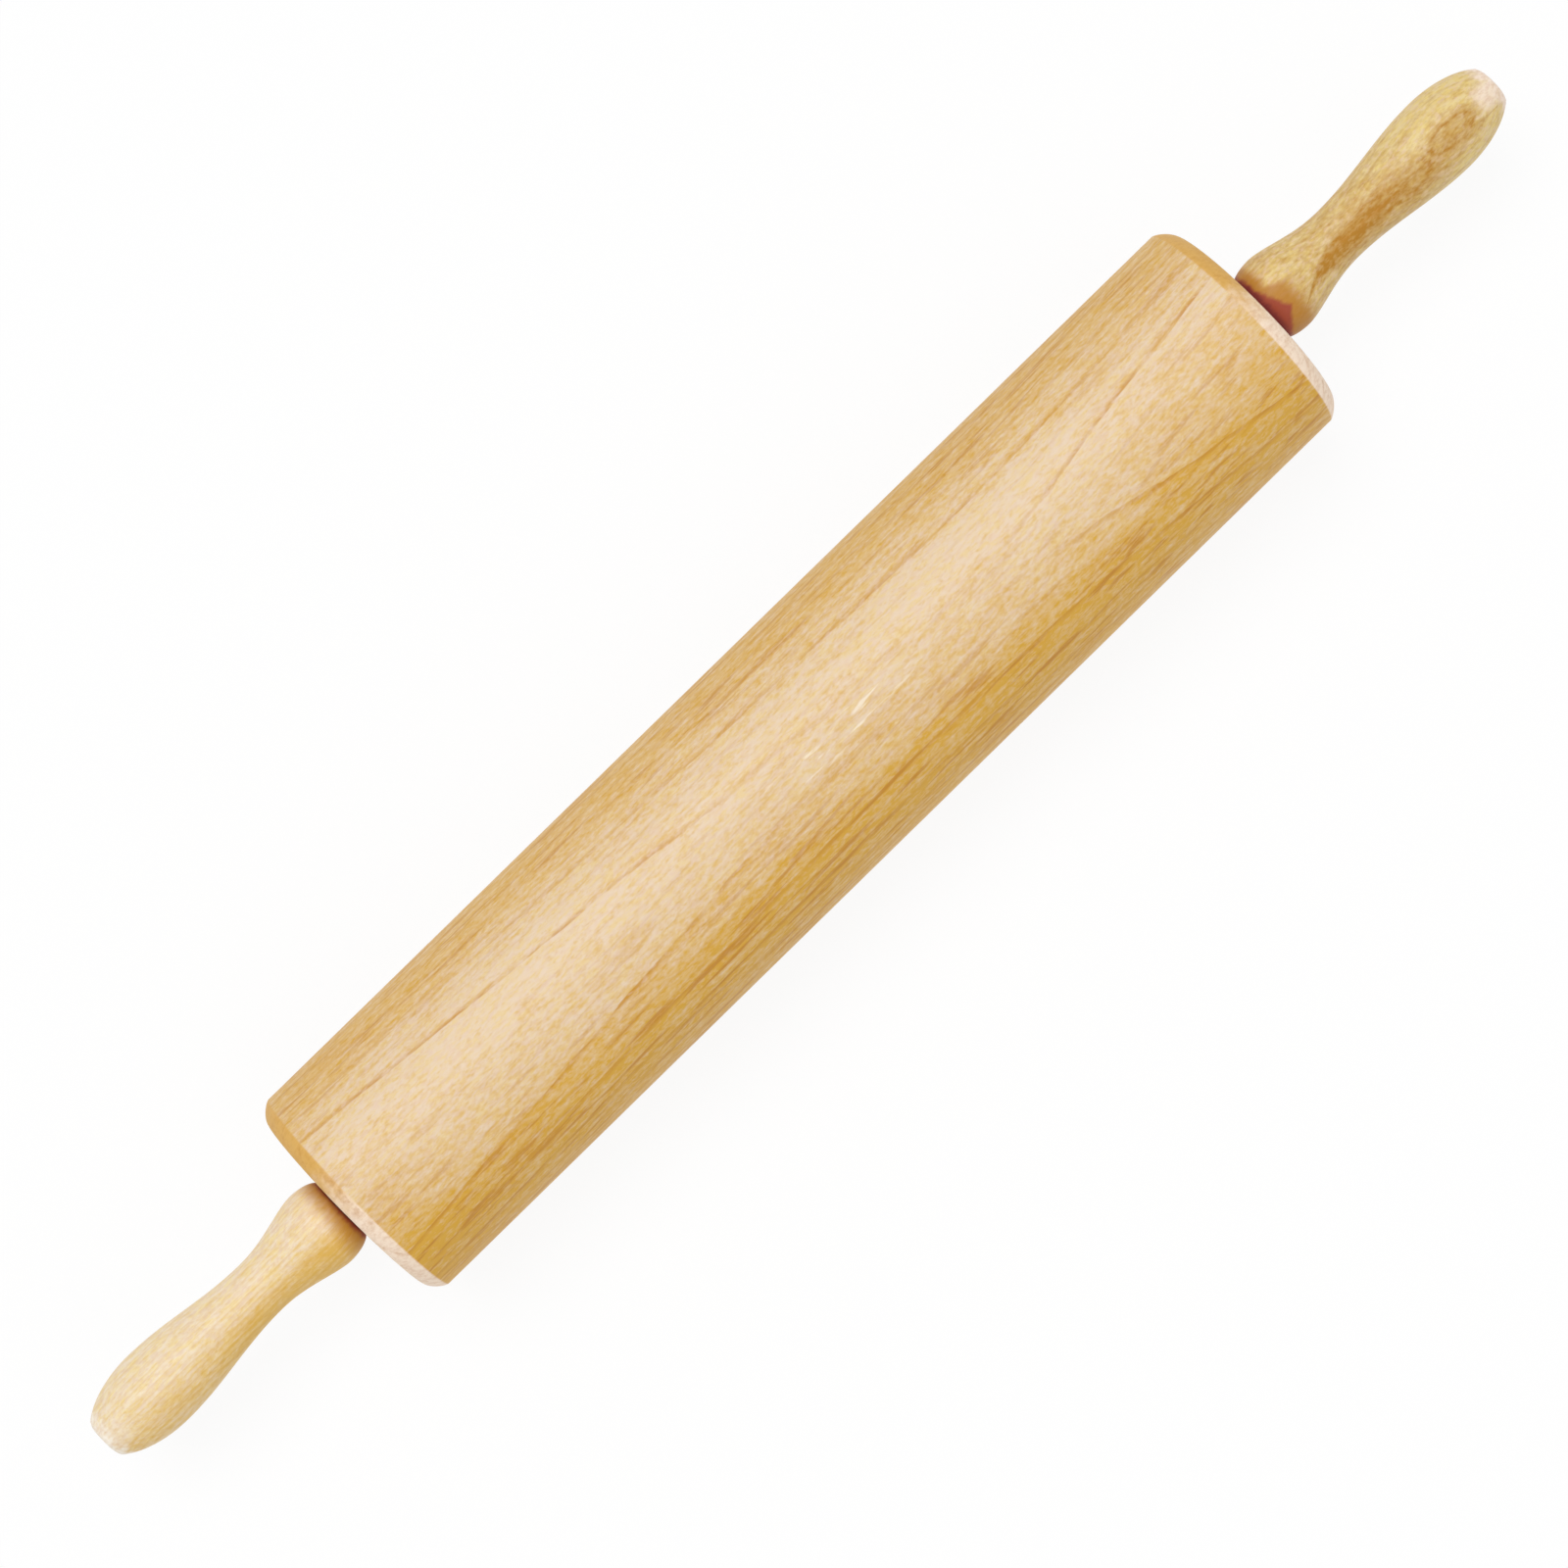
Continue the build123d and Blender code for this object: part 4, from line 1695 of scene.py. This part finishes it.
def floor_material(stage):
    """A pale floor that keeps the pin's shadow and otherwise reads as plain white."""
    material = bpy.data.materials.new("Pale Floor")
    bench = new_bench(material)
    place = Term(bench, bench.node("ShaderNodeTexCoord").outputs["Object"])
    grain = bench.noise(place, scale=900.0, detail=2.0)
    roughness = 0.85 + (grain - 0.5) * 0.1
    paint = bench.node(
        "ShaderNodeBsdfPrincipled",
        named={"Base Color": stage.floor, "Roughness": roughness, "Specular IOR Level": 0.2},
    )
    white = bench.node("ShaderNodeEmission", named={"Color": (1.0, 1.0, 1.0), "Strength": 1.0})
    mixed = bench.node("ShaderNodeMixShader", seen_directly(bench) * stage.white_share)
    bench.feed(mixed.inputs[1], Term(bench, paint.outputs["BSDF"]))
    bench.feed(mixed.inputs[2], Term(bench, white.outputs["Emission"]))
    end_tree(bench, "ShaderNodeOutputMaterial", mixed.outputs["Shader"])
    return material


def seen_directly(bench):
    """1 for rays from the camera, and for those that metal mirrors or glass lets through."""
    path = bench.node("ShaderNodeLightPath")
    camera, glossy, through = (
        Term(bench, path.outputs[f"Is {kind} Ray"])
        for kind in ("Camera", "Glossy", "Transmission")
    )
    return bench.math("MAXIMUM", bench.math("MAXIMUM", camera, glossy), through)


def white_world(level):
    """White behind the object, and an even light of this level on it."""
    world = bpy.data.worlds.new("Studio")
    bpy.context.scene.world = world
    bench = new_bench(world)
    strength = bench.blend(seen_directly(bench), level, 1.0)
    light = bench.node(
        "ShaderNodeBackground", named={"Color": (1.0, 1.0, 1.0), "Strength": strength}
    )
    end_tree(bench, "ShaderNodeOutputWorld", light.outputs["Background"])


# Directions from the pin to its two lamps, behind it and before it, and how soft they are
KEY_LAMP = ((-0.05, 0.375, 0.927), math.radians(35.0))
FILL_LAMP = ((0.05, -0.57, 0.82), math.radians(60.0))
# How far the camera sees, in metres
CAMERA_REACH = 100.0


def add_lamp(name, level, towards, softness):
    """A far soft lamp that stands in the given direction from the pin."""
    lamp = bpy.data.lights.new(name, "SUN")
    lamp.energy = level
    lamp.angle = softness
    holder = bpy.data.objects.new(name, lamp)
    holder.rotation_mode = "QUATERNION"
    holder.rotation_quaternion = Vector(towards).to_track_quat("Z", "Y")
    holder.location = Vector(towards).normalized()
    bpy.context.scene.collection.objects.link(holder)


def add_camera(stage):
    """The camera above the pin, turned so that the pin runs up to the right."""
    data = bpy.data.cameras.new("Camera")
    data.lens = stage.lens
    camera = bpy.data.objects.new("Camera", data)
    bpy.context.scene.collection.objects.link(camera)
    place = Vector((-stage.camera_offset, 0.0, stage.camera_distance))
    back = (place - Vector((stage.aim_x, stage.aim_y, 0.0))).normalized()
    up = Vector((math.sin(stage.turn), math.cos(stage.turn), 0.0))
    right = up.cross(back).normalized()
    up = back.cross(right)
    turned = Matrix((right, up, back)).transposed().to_4x4()
    camera.matrix_world = Matrix.Translation(place) @ turned
    data.clip_end = CAMERA_REACH
    bpy.context.scene.camera = camera


class ROLLINGPIN_OT_stage(bpy.types.Operator):
    """Set the floor, the lamps and the camera"""

    bl_idname = "rolling_pin.stage"
    bl_label = "Stage"

    def execute(self, context):
        stage = settings().stage
        ground = -settings().barrel.diameter / 2.0
        half = stage.floor_size / 2.0
        corners = [(x * half, y * half, ground) for x, y in ((-1, -1), (1, -1), (1, 1), (-1, 1))]
        mesh = bpy.data.meshes.new("floor")
        mesh.from_pydata(corners, [], [(0, 1, 2, 3)])
        mesh.materials.append(floor_material(stage))
        floor = bpy.data.objects.new("floor", mesh)
        bpy.context.scene.collection.objects.link(floor)
        white_world(stage.sky_level)
        add_lamp("Key", stage.key_level, *KEY_LAMP)
        add_lamp("Fill", stage.fill_level, *FILL_LAMP)
        add_camera(stage)
        bpy.context.scene.view_settings.view_transform = "Standard"
        return {"FINISHED"}


OPERATORS = (
    ROLLINGPIN_OT_groups,
    ROLLINGPIN_OT_stage,
    ROLLINGPIN_OT_barrel,
    ROLLINGPIN_OT_handles,
    ROLLINGPIN_OT_rod,
    ROLLINGPIN_OT_bushings,
    ROLLINGPIN_OT_washers,
    ROLLINGPIN_OT_nuts,
)


class ROLLINGPIN_PT_sidebar(bpy.types.Panel):
    """Lists the steps that build the rolling pin"""

    bl_idname = "ROLLINGPIN_PT_sidebar"
    bl_label = "Rolling Pin"
    bl_space_type = "VIEW_3D"
    bl_region_type = "UI"
    bl_category = "Rolling Pin"

    def draw(self, context):
        for operator in OPERATORS:
            self.layout.operator(operator.bl_idname)


SETTING_CLASSES = (
    BarrelSizes,
    HandleSizes,
    RodSizes,
    BushingSizes,
    WasherSizes,
    NutSizes,
    WoodLook,
    MetalLook,
    StageLook,
    RollingPinSettings,
)


def register():
    for item in (*SETTING_CLASSES, *OPERATORS, ROLLINGPIN_PT_sidebar):
        bpy.utils.register_class(item)
    bpy.types.Scene.rolling_pin = PointerProperty(type=RollingPinSettings)


def unregister():
    del bpy.types.Scene.rolling_pin
    for item in reversed((*SETTING_CLASSES, *OPERATORS, ROLLINGPIN_PT_sidebar)):
        bpy.utils.unregister_class(item)


def main():
    register()
    for step in (
        bpy.ops.rolling_pin.groups,
        bpy.ops.rolling_pin.stage,
        bpy.ops.rolling_pin.barrel,
        bpy.ops.rolling_pin.handles,
        bpy.ops.rolling_pin.rod,
        bpy.ops.rolling_pin.bushings,
        bpy.ops.rolling_pin.washers,
        bpy.ops.rolling_pin.nuts,
    ):
        step()


if __name__ == "__main__":
    main()
